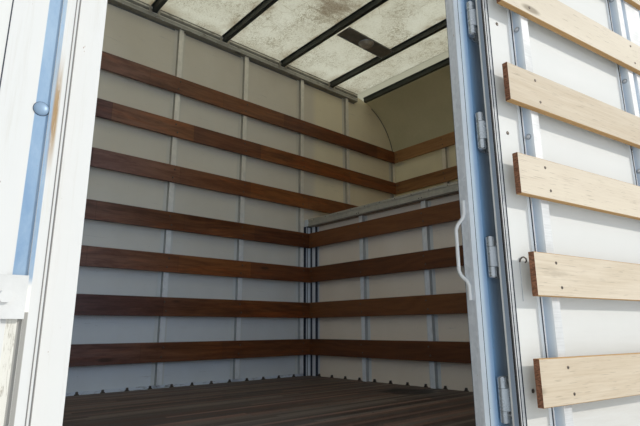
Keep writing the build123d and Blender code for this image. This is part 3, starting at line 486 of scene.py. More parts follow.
def rolled_paint(name, colour, metal=0.7, rough=0.35, door=False, inner=None, light_bands=False):
    """Mill-finish aluminium: fine drawing lines along it, oxide clouds and small scratches. On the door leaf,
    painted shade and reflection: a ramp on the post flanks, near-white feet and a dark slate side; inside the
    top rail, painted bands of light and shade.
    """
    p = Paint(name)
    if door:
        p.closed()
    lines = p.grain((260, 1.2, 260), 4, 0.6)
    cloud = p.noise(p.place, 5, 5, 0.65)
    scratch = p.spread(p.grain((30, 7, 90), 6, 0.7, 1.0), 0.64, 0.7)
    p.colour = p.between(cloud, 0.3, 0.75, colour, shade(colour, 0.8))
    p.lay(p.spread(lines, 0.4, 0.62), shade(colour, 0.5), 0.22)
    p.lay(scratch, (0.85, 0.85, 0.86), 0.5)
    if door:
        x, y = p.axes()[:2]
        square = p.spread(p.faces(1), 0.6, 0.8)
        flank = p.times(square, p.below(y, LEAF_Y[1] - 0.06))
        side = p.times(square, p.above(y, LEAF_Y[1] - 0.003))
        foot = p.above(x, SKIN_IN - 0.003)
        # Painted shade and reflection: the flanks get a shade ramp, bluish at their foot; the feet near white
        # for the lit sheet they reflect; the leaf's side dark slate for its shade.
        p.lay(flank, p.ramp(p.over(p.minus(SKIN_IN, x), 0.032), FLANK_SHADE_TONES))
        p.lay(foot, (0.92, 0.95, 0.98))
        p.lay(side, (0.3, 0.36, 0.45))
        metal = p.times(p.rest(p.any_of(foot, side, flank)), metal)
    if inner:
        within = p.inside(LOAD_CENTRE)
        dirt = p.spread(p.grain((40, 12, 60), 6, 0.75, 0.5), 0.5, 0.68)
        grime_and_shade = p.blend(p.times(dirt, 0.75), inner, (0.13, 0.1, 0.065))
        # Painted light and shade: bright and dark bands up the top rail's inner face, level faces dark grey.
        if light_bands:
            up = p.over(p.minus(p.axes()[2], TOP_RAIL), ROOF - TOP_RAIL)
            bands = p.ramp(up, [(place, (share / 1.5,) * 3) for place, share in RAIL_LIGHT_BANDS])
            bands = p.between(p.faces(2), 0.5, 0.7, bands, (0.36, 0.35, 0.32))
            grime_and_shade = p.blend(1.0, grime_and_shade, bands, "MULTIPLY")
        p.lay(within, grime_and_shade)
        metal = p.times(p.rest(within), metal)
    p.bump(lines, 0.0003, 0.5)
    p.finish(p.spread(cloud, 0.2, 0.8, rough - 0.08, rough + 0.14), metal)


# Hues of the pieces that the long slats are joined from
JOINED_HUES = ((0.0, (0.62, 0.5, 0.52)), (0.4, (0.88, 0.82, 0.8)), (0.75, (1.0, 0.86, 0.64)),
               (1.0, (0.75, 0.66, 0.66)))


def wood_paint(name, tones, along, gloss, edge_and_end=None, dim=0.0, figure=(0.45, 0.08), joined=0.0):
    """Boards with grain along one axis, a tone of their own each, knots, and dark ends."""
    p = Paint(name)
    if edge_and_end:
        p.closed()
    x, y, z = p.axes()
    board = p.math("FLOOR", p.over(p.plus(z, 0.03), 0.33))
    own = p.pick(board, 3.0, float(along))
    side = p.above(x, 0.0)
    shift = p.linear(own, 37.0, p.times(side, 11.0))
    run, across = (x, y) if along == 0 else (y, x)
    long = p.plus(run, shift)

    def drawn(*factors):
        return p.join(*(p.times(place, factor) for place, factor in zip((long, across, z), factors)))

    def grain(factors, *values):
        return p.noise(drawn(*factors), 1.0, *values)

    broad = grain((0.8, 9, 9), 4, 0.5, 0.8)
    wave = p.linear(grain((1.1, 5, 5), 3, 0.5), 46.0, p.times(z, 110.0))
    rings = p.linear(p.math("SINE", wave), 0.5, 0.5)
    fibre = grain((5, 190, 190), 5, 0.65)
    level = 0.5 - 0.5 * sum(figure) - 0.325
    value = p.linear(broad, figure[0], p.times(rings, figure[1]))
    value = p.linear(fibre, 0.35, p.linear(own, 0.3, p.plus(value, level)))
    dark, middle, light = tones
    p.colour = p.ramp(value, ((0.22, dark), (0.5, middle), (0.82, light)))
    if joined:
        length = p.over(long, joined)
        piece = p.pick(board, p.math("FLOOR", length), p.linear(side, 5.0, 8.0))
        p.colour = p.blend(1.0, p.colour, p.ramp(piece, JOINED_HUES), "MULTIPLY")
        # Painted light: warmer towards the front for the roof light there, and cooler near the doorway on the
        # left wall for its skylight.
        p.tint(p.spread(y, 1.2, 2.3), (1.0, 0.74, 0.42))
        p.tint(p.times(p.fade(y, 1.0, 2.1), p.below(x, 0.0)), (0.9, 0.92, 1.35))
        p.tint(p.spread(grain((2.2, 14, 16), 6, 0.75, 0.6), 0.42, 0.62), (0.6, 0.5, 0.48), 0.8)
        p.tint(p.spread(grain((1.3, 9, 12), 5, 0.7, 0.4), 0.52, 0.68), (1.5, 1.15, 0.85), 0.7)
        glue = p.spread(p.absolute(p.minus(p.math("FRACT", length), 0.5)), 0.4965, 0.4985)
        p.lay(glue, shade(dark, 0.6), 0.5)
    p.lay(p.spread(grain((14, 420, 420), 2, 0.5), 0.62, 0.72), shade(dark, 0.55), 0.55)
    p.lay(p.fade(p.cells(drawn(1.7, 4.2, 6.2), 1.0), 0.05, 0.11), shade(dark, 0.5), 0.8)
    p.lay(p.spread(grain((2.4, 7, 16), 5, 0.6), 0.58, 0.75), shade(dark, 0.6), 0.45)
    if dim:
        p.lay(p.spread(z, 0.5, 2.3, dim, 0.0), shade(dark, 0.45))
    if edge_and_end:
        edge, end = edge_and_end
        # Top and bottom faces and the cut ends in colours of their own.
        p.lay(p.spread(p.faces(2), 0.3, 0.6), edge)
        cut = p.between(p.grain((90, 90, 240), 4, 0.6), 0.35, 0.65, end, shade(end, 2.4))
        p.lay(p.spread(p.faces(along), 0.3, 0.6), cut)
        p.lay(p.spread(grain((10, 30, 55), 6, 0.8, 0.8), 0.66, 0.72), (0.3, 0.2, 0.12), 0.7)
        # Painted shade: darker towards the top, evening out the stronger light on the leaf's upper part.
        p.tint(p.spread(z, 0.6, 1.9), (0.9, 0.91, 0.92))
    p.bump(p.linear(fibre, 0.7, p.times(rings, 0.3)), 0.0006, 0.7)
    p.finish(p.spread(broad, 0.3, 0.7, gloss, gloss + 0.18), 0.0, 0.12 if edge_and_end else 0.45)


STRIP = 0.0314
STRIP_LENGTH = 1.25
STAINED_FLOOR = (-0.02, 2.78, FLOOR)
STAINED_ROOF = (-0.35, 2.49, 3.0)


def floor_paint():
    """Worn laminated floor: narrow strips glued along the boards, each piece its own tone."""
    p = Paint("laminated_floor")
    x, y = p.axes()[:2]
    strips = p.over(x, STRIP)
    strip = p.math("FLOOR", strips)
    pieces = p.over(p.plus(y, p.times(p.pick(strip, 1.0, 5.0), 1.3)), STRIP_LENGTH)
    piece = p.math("FLOOR", pieces)
    own = p.pick(strip, piece, 2.0)
    fibre = p.noise(p.join(p.times(x, 120.0), p.linear(own, 23.0, p.times(y, 3.0))), 1.0, 6, 0.65, 0.4)
    p.colour = p.ramp(p.linear(own, 0.55, p.times(fibre, 0.5)), (
        (0.15, (0.032, 0.023, 0.018)), (0.5, (0.096, 0.069, 0.053)), (0.9, (0.215, 0.163, 0.124))))
    p.tint(p.spread(p.pick(strip, piece, 7.0), 0.62, 0.66, 0.0, 0.55), (1.3, 0.78, 0.66))
    joint = p.fade(p.math("FRACT", pieces), 0.001, 0.003)
    gap = p.any_of(p.fade(p.math("FRACT", strips), 0.03, 0.07), joint)
    p.lay(gap, (0.02, 0.015, 0.012), 0.75)
    dust = p.grain((1.6, 0.7, 1), 6, 0.65)
    p.lay(p.spread(dust, 0.45, 0.75, 0.0, 0.4), (0.2, 0.18, 0.16))
    spill = p.vector("DISTANCE", p.place, STAINED_FLOOR)["Value"]
    edge = p.linear(p.noise(p.place, 7, 4), 0.16, p.minus(spill, 0.08))
    p.lay(p.spread(edge, 0.12, 0.19, 0.88, 0.0), (0.01, 0.008, 0.007))
    p.lay(p.spread(p.grain((24, 2.2, 1), 6, 0.75, 1.2), 0.63, 0.7), (0.3, 0.25, 0.2), 0.4)
    p.bump(p.minus(fibre, gap), 0.0012, 0.6)
    p.finish(p.spread(dust, 0.3, 0.7, 0.5, 0.72), 0.0, 0.3)


def plywood_paint():
    """Attic deck, with its plies on the edge."""
    p = Paint("plywood_deck")
    figure = p.grain((1.1, 9, 3), 6, 0.6, 1.5)
    fibre = p.grain((5, 160, 160), 5, 0.6)
    p.colour = p.ramp(p.linear(fibre, 0.4, p.times(figure, 0.65)), (
        (0.25, (0.18, 0.12, 0.07)), (0.55, (0.33, 0.24, 0.15)), (0.85, (0.45, 0.34, 0.22))))
    plies = p.math("FRACT", p.times(p.axes()[2], 180.0))
    edge = p.rest(p.spread(p.faces(2), 0.4, 0.6))
    p.lay(p.times(edge, p.above(plies, 0.5)), (0.14, 0.09, 0.05))
    p.bump(fibre, 0.0006, 0.5)
    p.finish(p.spread(figure, 0.3, 0.7, 0.55, 0.75))


def roof_paint():
    """Translucent glass-fibre sheet: fibres, specks, crazing and dirt that gathers beside the bows."""
    p = Paint("fibre_roof")
    x, y = p.axes()[:2]
    cloud = p.grain((1.2, 1.2, 1), 6, 0.65)
    fibres = p.grain((60, 60, 8), 6, 0.8, 2.5)
    shifted = p.vector("ADD", p.place, (0.3, 0.1, 0))[0]
    craze = p.fade(p.cells(shifted, 6, "DISTANCE_TO_EDGE"), 0.004, 0.012)
    cracked = p.spread(p.noise(p.place, 1.6, 3), 0.56, 0.62)
    speck = p.fade(p.cells(p.place, 42), 0.1, 0.16)
    some = p.above(p.noise(p.place, 9, 3), 0.52)
    between_bows = p.math("FRACT", p.over(p.minus(y, BOWS[-1]), BOW_PITCH))
    near_bow = p.spread(p.absolute(p.minus(between_bows, 0.5)), 0.3, 0.46)
    grime = p.times(near_bow, p.spread(p.grain((5, 8, 1), 6, 0.7, 0.6), 0.42, 0.7))
    p.colour = p.between(cloud, 0.35, 0.7, (0.82, 0.83, 0.76), (0.76, 0.76, 0.68))
    p.lay(p.spread(fibres, 0.42, 0.62, 0.0, 0.3), (0.62, 0.62, 0.55))
    p.lay(p.times(craze, cracked), (0.3, 0.24, 0.15), 0.45)
    p.lay(p.times(speck, some), (0.42, 0.34, 0.22), 0.55)
    p.lay(grime, (0.33, 0.25, 0.15), 0.62)
    fleck = p.spread(p.grain((30, 42, 5), 7, 0.85, 2.0), 0.485, 0.57)
    patch = p.spread(p.grain((3, 3, 1), 5, 0.7), 0.38, 0.62, 0.2, 1.0)
    p.lay(p.times(fleck, patch), (0.32, 0.28, 0.19), 0.7)
    p.lay(p.times(p.spread(p.absolute(x), 1.1, 1.24), p.spread(cloud, 0.3, 0.6)), (0.3, 0.24, 0.15), 0.4)
    stain = p.vector("DISTANCE", p.place, STAINED_ROOF)["Value"]
    smear = p.linear(p.grain((14, 6, 1), 6, 0.75, 1.0), 0.7, p.minus(stain, 0.35))
    smear = p.spread(smear, 0.0, 0.2, 0.75, 0.0)
    p.lay(p.times(smear, p.spread(fibres, 0.35, 0.6, 1.0, 0.35)), (0.22, 0.15, 0.08))
    facing = p.inside(LOAD_CENTRE)
    weather = p.spread(p.grain((5, 1.2, 1), 6, 0.7), 0.45, 0.75)
    top = p.blend(p.times(weather, 0.4), (0.94, 0.94, 0.91), (0.72, 0.7, 0.62))
    p.colour = p.blend(facing, top, p.colour)
    p.glow(p.linear(facing, 0.22, 0.6), p.colour)
    p.bump(fibres, 0.0008, 0.6)
    p.finish(p.spread(cloud, 0.3, 0.7, 0.42, 0.6))


def nose_paint():
    """Glass-fibre nose: gel coat outside, dull olive resin with its mat inside."""
    p = Paint("fibre_nose")
    facing = p.inside(ATTIC_CENTRE)
    y, z = p.axes()[1:]
    cloud = p.noise(p.place, 2, 5, 0.6)
    mat = p.grain((40, 40, 40), 6, 0.8, 3.0)
    p.colour = p.between(mat, 0.35, 0.65, (0.46, 0.43, 0.31), (0.38, 0.355, 0.25))
    p.lay(p.spread(cloud, 0.4, 0.7, 0.0, 0.5), (0.56, 0.52, 0.38))
    p.lay(p.fade(z, 2.42, 2.43), p.between(cloud, 0.35, 0.7, (0.92, 0.84, 0.64), (0.8, 0.72, 0.54)))
    gel = p.between(cloud, 0.35, 0.7, (0.78, 0.78, 0.76), (0.74, 0.74, 0.71))
    streak = p.spread(p.grain((18, 3, 1.2), 6, 0.7), 0.5, 0.75)
    gel = p.blend(p.times(streak, 0.25), gel, (0.5, 0.47, 0.4))
    p.colour = p.blend(facing, gel, p.colour)
    clear = p.fade(y, BOWS[0] + 0.545, BOWS[0] + 0.56)
    p.glow(p.linear(clear, 0.5, 0.3), p.blend(clear, (0.54, 0.5, 0.35), (0.64, 0.64, 0.56)))
    p.bump(mat, 0.0006, 0.5)
    p.finish(p.blend(facing, (0.25, 0.25, 0.25), (0.7, 0.7, 0.7)))


# Painted shade of the far jamb's rebate, from the inner corner outwards
REBATE_SHADE_TONES = ((0.0, (0.82, 0.9, 0.98)), (0.1, (0.74, 0.86, 0.98)), (0.2, (0.4, 0.57, 0.82)),
                (0.32, (0.22, 0.4, 0.66)), (0.5, (0.22, 0.35, 0.52)), (0.85, (0.26, 0.34, 0.44)),
                (1.0, (0.34, 0.41, 0.48)))


def frame_coat():
    """White paint of the doorway frame and rear portal, with bare zinc, a blue groove, seams and rust;
    painted shade in the far jamb's rebate and low in the groove, painted light on the stop's strip and the
    groove's flanks.
    """
    p = Paint("frame_coat")
    x, y, z = p.axes()
    cloud = p.grain((3, 3, 1.2), 6, 0.65)
    runs = p.grain((70, 70, 3), 6, 0.7)
    zinc = p.blend(p.spangle(130), (0.58, 0.61, 0.65), (0.68, 0.71, 0.75))
    zinc = p.blend(p.spread(runs, 0.4, 0.7, 0.0, 0.6), zinc, (0.8, 0.82, 0.85))
    front_jamb = p.times(p.above(y, 1.5), p.below(y, 1.66))
    end_face = p.times(front_jamb, p.below(y, 1.5215))
    rebate = p.times(front_jamb, p.above(y, 1.5465))
    strip = p.times(front_jamb, p.band(y, 1.5215, 1.5465, 0.0004), p.above(x, 1.2685))
    depth = p.over(p.plus(p.minus(x, 1.2695), p.minus(y, 1.547)), 0.09)
    channel = p.times(p.band(y, 0.3325, 0.3565, 0.0006), p.above(x, 1.27))
    flat = p.above(p.faces(0), 0.9)
    groove = p.times(channel, flat, p.band(z, 0.66, 2.9, 0.01))
    low_groove = p.times(channel, flat, p.below(z, 0.62))
    blotch = p.grain((9, 14, 5), 6, 0.7, 0.5)
    cracks = p.spread(p.grain((60, 300, 22), 6, 0.75, 1.0), 0.55, 0.62)
    cream_and_shade = p.blend(p.times(cracks, 0.6), (0.76, 0.74, 0.68), (0.3, 0.26, 0.2))
    # Painted shade: the low groove's part beyond 0.3455 grey-brown.
    cream_and_shade = p.blend(p.above(y, 0.3455), cream_and_shade, (0.34, 0.33, 0.31))
    flow = p.grain((40, 240, 14), 6, 0.7, 0.6)
    rust = p.times(p.band(y, 0.355, 0.3625, 0.002), p.band(z, 0.85, 0.975, 0.05), p.spread(x, 1.29, 1.294))
    faint = p.times(p.band(y, 0.349, 0.366, 0.004), p.band(z, 0.66, 1.3, 0.05), p.spread(flow, 0.4, 0.7))
    p.colour = p.between(cloud, 0.35, 0.75, (0.74, 0.74, 0.735), (0.71, 0.715, 0.715))
    p.lay(p.spread(runs, 0.52, 0.75), (0.55, 0.52, 0.46), 0.3)
    p.lay(end_face, zinc)
    # Painted shade: the rebate's blue shade ramp.
    p.lay(rebate, p.ramp(depth, REBATE_SHADE_TONES))
    # Painted sunlight: the stop's outer face near white, brighter than the coat.
    p.lay(strip, (0.95, 0.97, 0.98))
    # Painted light: the groove's flanks paler, to lift their shade.
    p.lay(channel, (0.93, 0.9, 0.85))
    p.lay(groove, p.between(blotch, 0.3, 0.7, (0.21, 0.33, 0.5), (0.34, 0.46, 0.6)))
    p.lay(low_groove, cream_and_shade)
    p.lay(p.times(rust, p.spread(flow, 0.28, 0.48)), (0.34, 0.2, 0.07), 0.95)
    p.lay(faint, (0.62, 0.56, 0.42), 0.3)
    p.lay(p.spread(p.grain((120, 120, 60), 4, 0.6), 0.72, 0.76), (0.3, 0.16, 0.09))
    p.bump(p.noise(p.place, 30, 4), 0.0006, 0.4)
    p.finish(p.spread(cloud, 0.2, 0.8, 0.5, 0.62), p.times(p.any_of(end_face, groove), 0.25), 0.25)


def coated(name, colour, rough, metal, wear, worn, scale):
    """Paint, plating or rubber with clouds, wear and a fine rough surface."""
    p = Paint(name)
    cloud = p.noise(p.place, scale * 0.4, 5, 0.65)
    p.colour = p.between(cloud, 0.3, 0.7, colour, shade(colour, 0.85))
    p.lay(p.spread(p.noise(p.place, scale, 7, 0.75, 0.6), 0.56, 0.72), worn, wear)
    p.bump(p.noise(p.place, scale * 9, 4, 0.6), 0.0004, 0.5)
    p.finish(p.spread(cloud, 0.2, 0.8, rough - 0.08, rough + 0.12), metal)


def lens_paint(name, colour):
    """Moulded lens with fine upright flutes."""
    p = Paint(name)
    line = p.math("SINE", p.times(p.axes()[0], 140.0 * 6.28))
    p.colour = p.blend(p.spread(line, -1.0, 1.0, 0.0, 0.35), colour, shade(colour, 0.5))
    p.bump(line, 0.0008, 0.8)
    p.finish(p.spread(p.noise(p.place, 30, 4), 0.3, 0.7, 0.12, 0.22), coat=0.4)


def lamp_paint():
    """Lamp bar of dull zinc with its yellowed dome."""
    p = Paint("lamp_and_bar")
    dirt = p.noise(p.place, 14, 6, 0.7)
    bar = p.between(dirt, 0.35, 0.7, (0.16, 0.15, 0.12), (0.26, 0.24, 0.19))
    lens = p.between(dirt, 0.35, 0.75, (0.6, 0.53, 0.4), (0.4, 0.33, 0.22))
    p.colour = p.blend(p.below(p.axes()[2], ROOF - 0.0458), bar, lens)
    p.bump(dirt, 0.0006, 0.4)
    p.finish(p.spread(dirt, 0.3, 0.7, 0.35, 0.6))


SLAT_TONES = ((0.085, 0.035, 0.017), (0.25, 0.128, 0.072), (0.37, 0.205, 0.12))
CROSS_TONES = ((0.06, 0.017, 0.005), (0.17, 0.056, 0.015), (0.28, 0.11, 0.032))
NOSE_TONES = ((0.12, 0.045, 0.014), (0.33, 0.155, 0.055), (0.48, 0.26, 0.1))
PALE_TONES = ((0.56, 0.45, 0.32), (0.74, 0.645, 0.52), (0.84, 0.75, 0.6))
PALE_EDGES = ((0.5, 0.3, 0.13), (0.15, 0.07, 0.04))
WHITE = (0.77, 0.77, 0.755)
ZINC = (0.93, 0.95, 0.97)
MILL = (0.62, 0.62, 0.62)

# Name, colour, roughness, metal, share of wear, colour of wear, scale
COATS = (
    ("bow_steel", (0.055, 0.06, 0.05), 0.5, 0.35, 0.35, (0.2, 0.15, 0.1), 18),
    ("under_paint", (0.035, 0.035, 0.035), 0.55, 0.0, 0.45, (0.14, 0.1, 0.07), 9),
    ("black_rubber", (0.02, 0.02, 0.022), 0.65, 0.0, 0.4, (0.09, 0.085, 0.08), 40),
    ("zinc_plate", (0.44, 0.49, 0.54), 0.26, 0.6, 0.4, (0.22, 0.23, 0.25), 30),
    ("lock_steel", (0.58, 0.6, 0.62), 0.34, 0.7, 0.3, (0.28, 0.22, 0.17), 24),
    ("corner_zinc", (0.82, 0.85, 0.88), 0.4, 0.2, 0.3, (0.42, 0.4, 0.36), 12),
    ("highlight_lip", (0.95, 0.96, 0.98), 0.3, 0.9, 0.2, (0.6, 0.62, 0.65), 30),
    ("frame_seam", (0.26, 0.25, 0.24), 0.6, 0.0, 0.95, (0.1, 0.05, 0.035), 11),
    ("blue_bolt", (0.3, 0.43, 0.6), 0.35, 0.2, 0.3, (0.5, 0.56, 0.62), 40),
    ("handle_coat", (0.84, 0.85, 0.86), 0.3, 0.0, 0.25, (0.5, 0.5, 0.5), 35),
    ("keeper_coat", (0.76, 0.76, 0.755), 0.32, 0.0, 0.25, (0.5, 0.47, 0.42), 26),
    ("dark_screw", (0.12, 0.1, 0.085), 0.4, 0.7, 0.5, (0.2, 0.11, 0.06), 90),
    ("white_rivet", (0.72, 0.72, 0.71), 0.35, 0.1, 0.3, (0.45, 0.42, 0.38), 90),
    ("bright_bolt", (0.55, 0.57, 0.6), 0.3, 0.8, 0.3, (0.3, 0.24, 0.18), 90),
    ("dark_line_coat", (0.035, 0.042, 0.062), 0.7, 0.0, 0.4, (0.09, 0.1, 0.12), 30),
)


def make_materials():
    sheet_paint("wall_sheet", WHITE, (0.8, 0.715, 0.57), attic_tone=(0.92, 0.81, 0.58))
    sheet_paint("front_sheet", WHITE, (0.95, 0.82, 0.67))
    sheet_paint("door_sheet", WHITE, (0.93, 0.93, 0.92), (0.4, 3.0, 1.5), True)
    sheet_paint("rear_sheet", WHITE, (0.74, 0.73, 0.7))
    zinc_paint("side_zinc", ZINC, (0, SKIN_IN))
    zinc_paint("bulk_zinc", ZINC, (1, BULK_SKIN))
    zinc_paint("nose_zinc", ZINC, (1, NOSE_SKIN))
    zinc_paint("rail_zinc", (0.5, 0.49, 0.44), rough=0.5)
    wood_paint("slats_long", SLAT_TONES, 1, 0.34, joined=0.62)
    wood_paint("slats_nose", NOSE_TONES, 0, 0.42)
    wood_paint("slats_cross", CROSS_TONES, 0, 0.42, dim=0.2)
    wood_paint("slats_pale", PALE_TONES, 1, 0.55, PALE_EDGES, figure=(0.3, 0.05))
    for paint in (floor_paint, plywood_paint, roof_paint, nose_paint, frame_coat, lamp_paint):
        paint()
    rolled_paint("rolled_rail", MILL, inner=(0.72, 0.76, 0.81))
    rolled_paint("top_rail", MILL, inner=(0.78, 0.73, 0.6), light_bands=True)
    rolled_paint("door_edge", (0.72, 0.73, 0.74), 0.1, 0.6, True)
    lens_paint("amber_lens", (0.8, 0.3, 0.03))
    lens_paint("red_lens", (0.6, 0.02, 0.02))
    for values in COATS:
        coated(*values)


FINISHED_NODES = {
    "wall_sheet": "panel_left panel_right",
    "front_sheet": "bulkhead_panel",
    "door_sheet": "side_door_panel",
    "rear_sheet": "rear_door_left rear_door_right",
    "side_zinc": "posts_left posts_right",
    "bulk_zinc": "bulkhead_posts",
    "nose_zinc": "nose_posts",
    "rail_zinc": "attic_rail",
    "slats_long": "slats_left slats_right",
    "slats_cross": "bulkhead_slats",
    "slats_nose": "nose_slats",
    "slats_pale": "side_door_slats",
    "laminated_floor": "floor_boards",
    "plywood_deck": "attic_deck",
    "fibre_roof": "roof_sheet",
    "fibre_nose": "nose_panel",
    "frame_coat": "side_frame rear_frame",
    "handle_coat": "grab_handle",
    "keeper_coat": "latch_keeper",
    "top_rail": "top_rail_left top_rail_right",
    "rolled_rail": "bottom_rail_left bottom_rail_right",
    "door_edge": "side_door_frame",
    "bow_steel": "roof_bows",
    "under_paint": "long_sill_left long_sill_right cross_members",
    "black_rubber": "side_door_seal",
    "zinc_plate": "side_hinges_fixed side_door_hinges",
    "lock_steel": "side_door_lock rear_lock_left rear_lock_right",
    "lamp_and_bar": "roof_lamps",
    "amber_lens": "nose_lamps",
    "red_lens": "rear_lamps",
}


# Pieces

def spokes(side, other, count):
    """Unit vectors all round, from one side towards the other."""
    turns = [2 * math.pi * i / count for i in range(count)]
    return [side * math.cos(turn) + other * math.sin(turn) for turn in turns]


def around(normal, count):
    """Unit normal, and unit vectors all round it."""
    normal = Vector(normal).normalized()
    side = normal.orthogonal().normalized()
    return normal, spokes(side, normal.cross(side), count)


def head_rings(radius, height, shares):
    """Rings of a head, sunk a little at its foot, from shares of its radius and height."""
    return [(radius, -0.0004)] + [(radius * wide, height * high) for wide, high in shares]


class Piece:
    """A mesh that gathers many small shapes, then becomes one object that rides on a body."""

    def __init__(self, body="body"):
        self.bm = bmesh.new()
        self.body = body

    def loft(self, rows, capped=True):
        """Skin over rows of places, closed at both ends, or else joined from the last row to the first."""
        rows = [[self.bm.verts.new(place) for place in row] for row in rows]
        for low, high in zip(rows, rows[1:] if capped else rows[1:] + rows[:1]):
            for i in range(len(low)):
                j = (i + 1) % len(low)
                self.bm.faces.new((low[i], low[j], high[j], high[i]))
        if capped:
            self.bm.faces.new(rows[0][::-1])
            self.bm.faces.new(rows[-1])

    def prism(self, profile, place, run, side, length):
        """Profile of (side, up) points carried along run from place."""
        run = Vector(run).normalized()
        side = Vector(side).normalized()
        up = run.cross(side)
        ends = [Vector(place) + run * distance for distance in (0, length)]
        self.loft([[end + side * a + up * b for a, b in profile] for end in ends])

    def box(self, low, high, ease):
        """Box with its long edges eased, running along its longest side."""
        size = [b - a for a, b in zip(low, high)]
        run = size.index(max(size))
        a, b = [i for i in range(3) if i != run]
        units = [Vector(OUT), Vector(FORWARD), Vector(UP)]
        if units[run].cross(units[a]).dot(units[b]) < 0:
            a, b = b, a
        w, h = size[a], size[b]
        e = min(ease, w / 3, h / 3)
        profile = [(e, 0), (w - e, 0), (w, e), (w, h - e), (w - e, h), (e, h), (0, h - e), (0, e)]
        self.prism(profile, low, units[run], units[a], size[run])

    def turned(self, place, normal, rings, sides=10):
        """Turned shape from (radius, height) rings along the normal, closed at both ends."""
        normal, outs = around(normal, sides)
        place = Vector(place)
        self.loft([[place + normal * height + out * radius for out in outs] for radius, height in rings])

    def rivet(self, place, normal, radius=0.0055, height=0.002):
        shares = ((0.94, 0.5), (0.6, 0.9), (0.2, 1.0))
        self.turned(place, normal, head_rings(radius, height, shares), 8)

    def screw(self, place, normal, radius=0.0065, height=0.0028, sides=10):
        """Pan head with a dished recess."""
        shares = ((0.97, 0.5), (0.72, 1.0), (0.36, 1.0), (0.22, 0.35))
        self.turned(place, normal, head_rings(radius, height, shares), sides)

    def hexagon(self, place, normal, radius, height):
        """Hexagon bolt head on its washer."""
        wide = radius * 1.35
        self.turned(place, normal, [(wide, -0.0004), (wide, 0.0014), (radius * 1.2, 0.0016)], 14)
        self.turned(place, normal, [(radius, 0.0014), (radius, height * 0.85), (radius * 0.82, height)], 6)

    def tube(self, points, radius, sides=6):
        """Round bar through points."""
        points = [Vector(point) for point in points]
        rows = []
        side = None
        for i, point in enumerate(points):
            run = (points[min(i + 1, len(points) - 1)] - points[max(i - 1, 0)]).normalized()
            side = (side - run * side.dot(run) if side else run.orthogonal()).normalized()
            rows.append([point + out * radius for out in spokes(side, run.cross(side), sides)])
        self.loft(rows)

    def upright(self, x, y, z0, z1, radius, sides=6):
        self.tube([(x, y, z0), (x, y, z1)], radius, sides)

    def ring(self, place, normal, radius, wire, sides=24, facets=6):
        normal, outs = around(normal, sides)
        turns = [2 * math.pi * i / facets for i in range(facets)]
        self.loft([[Vector(place) + out * (radius + wire * math.cos(turn)) + normal * wire * math.sin(turn)
                    for turn in turns] for out in outs], False)

    def grid(self, make, xs, ys, zs, *values):
        """The same small shape at each place of a grid."""
        for place in product(each(xs), each(ys), each(zs)):
            make(place, *values)

    def done(self, name, finish="dark_screw"):
        bmesh.ops.recalc_face_normals(self.bm, faces=self.bm.faces)
        if self.body == "side_door":
            turn = Matrix.Translation((*AXIS, 0)) @ Matrix.Rotation(math.radians(OPEN_ANGLE), 4, "Z")
            self.bm.transform(turn @ Matrix.Translation((-AXIS[0], -AXIS[1], 0)))
        mesh = bpy.data.meshes.new(name)
        self.bm.to_mesh(mesh)
        self.bm.free()
        mesh.materials.append(materials[finish])
        obj = link(name, mesh)
        mesh.polygons.foreach_set("use_smooth", [True] * len(mesh.polygons))
        mesh.set_sharp_from_angle(angle=math.radians(40))
        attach(obj, self.body)


def wall_posts(sign):
    """Post places on one side wall, with the slats that each carries."""
    rows = []
    for y in row(FIRST_POST, -POST_PITCH, POST_COUNT):
        if sign < 0 or not DOORWAY[0] - 0.045 < y < DOORWAY[1] + 0.045:
            rows.append((y, SLAT_Z))
    return rows + [(CORNER_POST, SLAT_Z)] + [(y, HIGH_SLATS) for y in ATTIC_POSTS]


def slat_screws():
    for sign, side in SIDES:
        piece = Piece()
        for y, slats in wall_posts(sign):
            for i, z in enumerate(slats):
                lean = 0.007 if i % 2 else -0.006
                for dy, dz in ((lean, 0.034), (-lean, 0.097)):
                    piece.screw((sign * SLAT_FACE, y + dy, z + dz), (-sign, 0, 0))
        piece.done("slat_screws_" + side)
    for name, face, slats in (("bulkhead", BULK_SLAT, LOW_SLATS), ("nose", NOSE_SLAT, HIGH_SLATS)):
        piece = Piece()
        for dx, dz in ((0.006, 0.036), (-0.006, 0.095)):
            piece.grid(piece.screw, about((-1.205, *CROSS_POSTS, 1.205), dx), face, about(slats, dz), BACK)
        piece.done(name + "_screws")


def wall_base():
    """Dark bolt clips along the foot of the walls."""
    for sign, side in SIDES:
        piece = Piece()
        for y in row(2.86, -CLIP_STEP, 38):
            if sign > 0 and DOORWAY[0] - 0.03 < y < DOORWAY[1] + 0.03:
                continue
            if abs((y - FIRST_POST) % POST_PITCH) < 0.05:
                continue
            piece.prism(CLIP, (sign * CLIP_BACK, y, FLOOR), (-sign, 0, 0), (0, -sign, 0), CLIP_DEPTH)
            face = sign * (CLIP_BACK - CLIP_DEPTH)
            piece.screw((face, y, FLOOR + 0.015), (-sign, 0, 0), 0.0045, 0.002, 8)
        piece.done("base_clips_" + side)
    piece = Piece()
    for x in row(-1.16, 0.1547, 16):
        if min(abs(x - post) for post in CROSS_POSTS) >= 0.06:
            piece.prism(CLIP, (x, BULK_SKIN - 0.0012, FLOOR), BACK, OUT, CLIP_DEPTH)
    piece.done("base_clips_front")


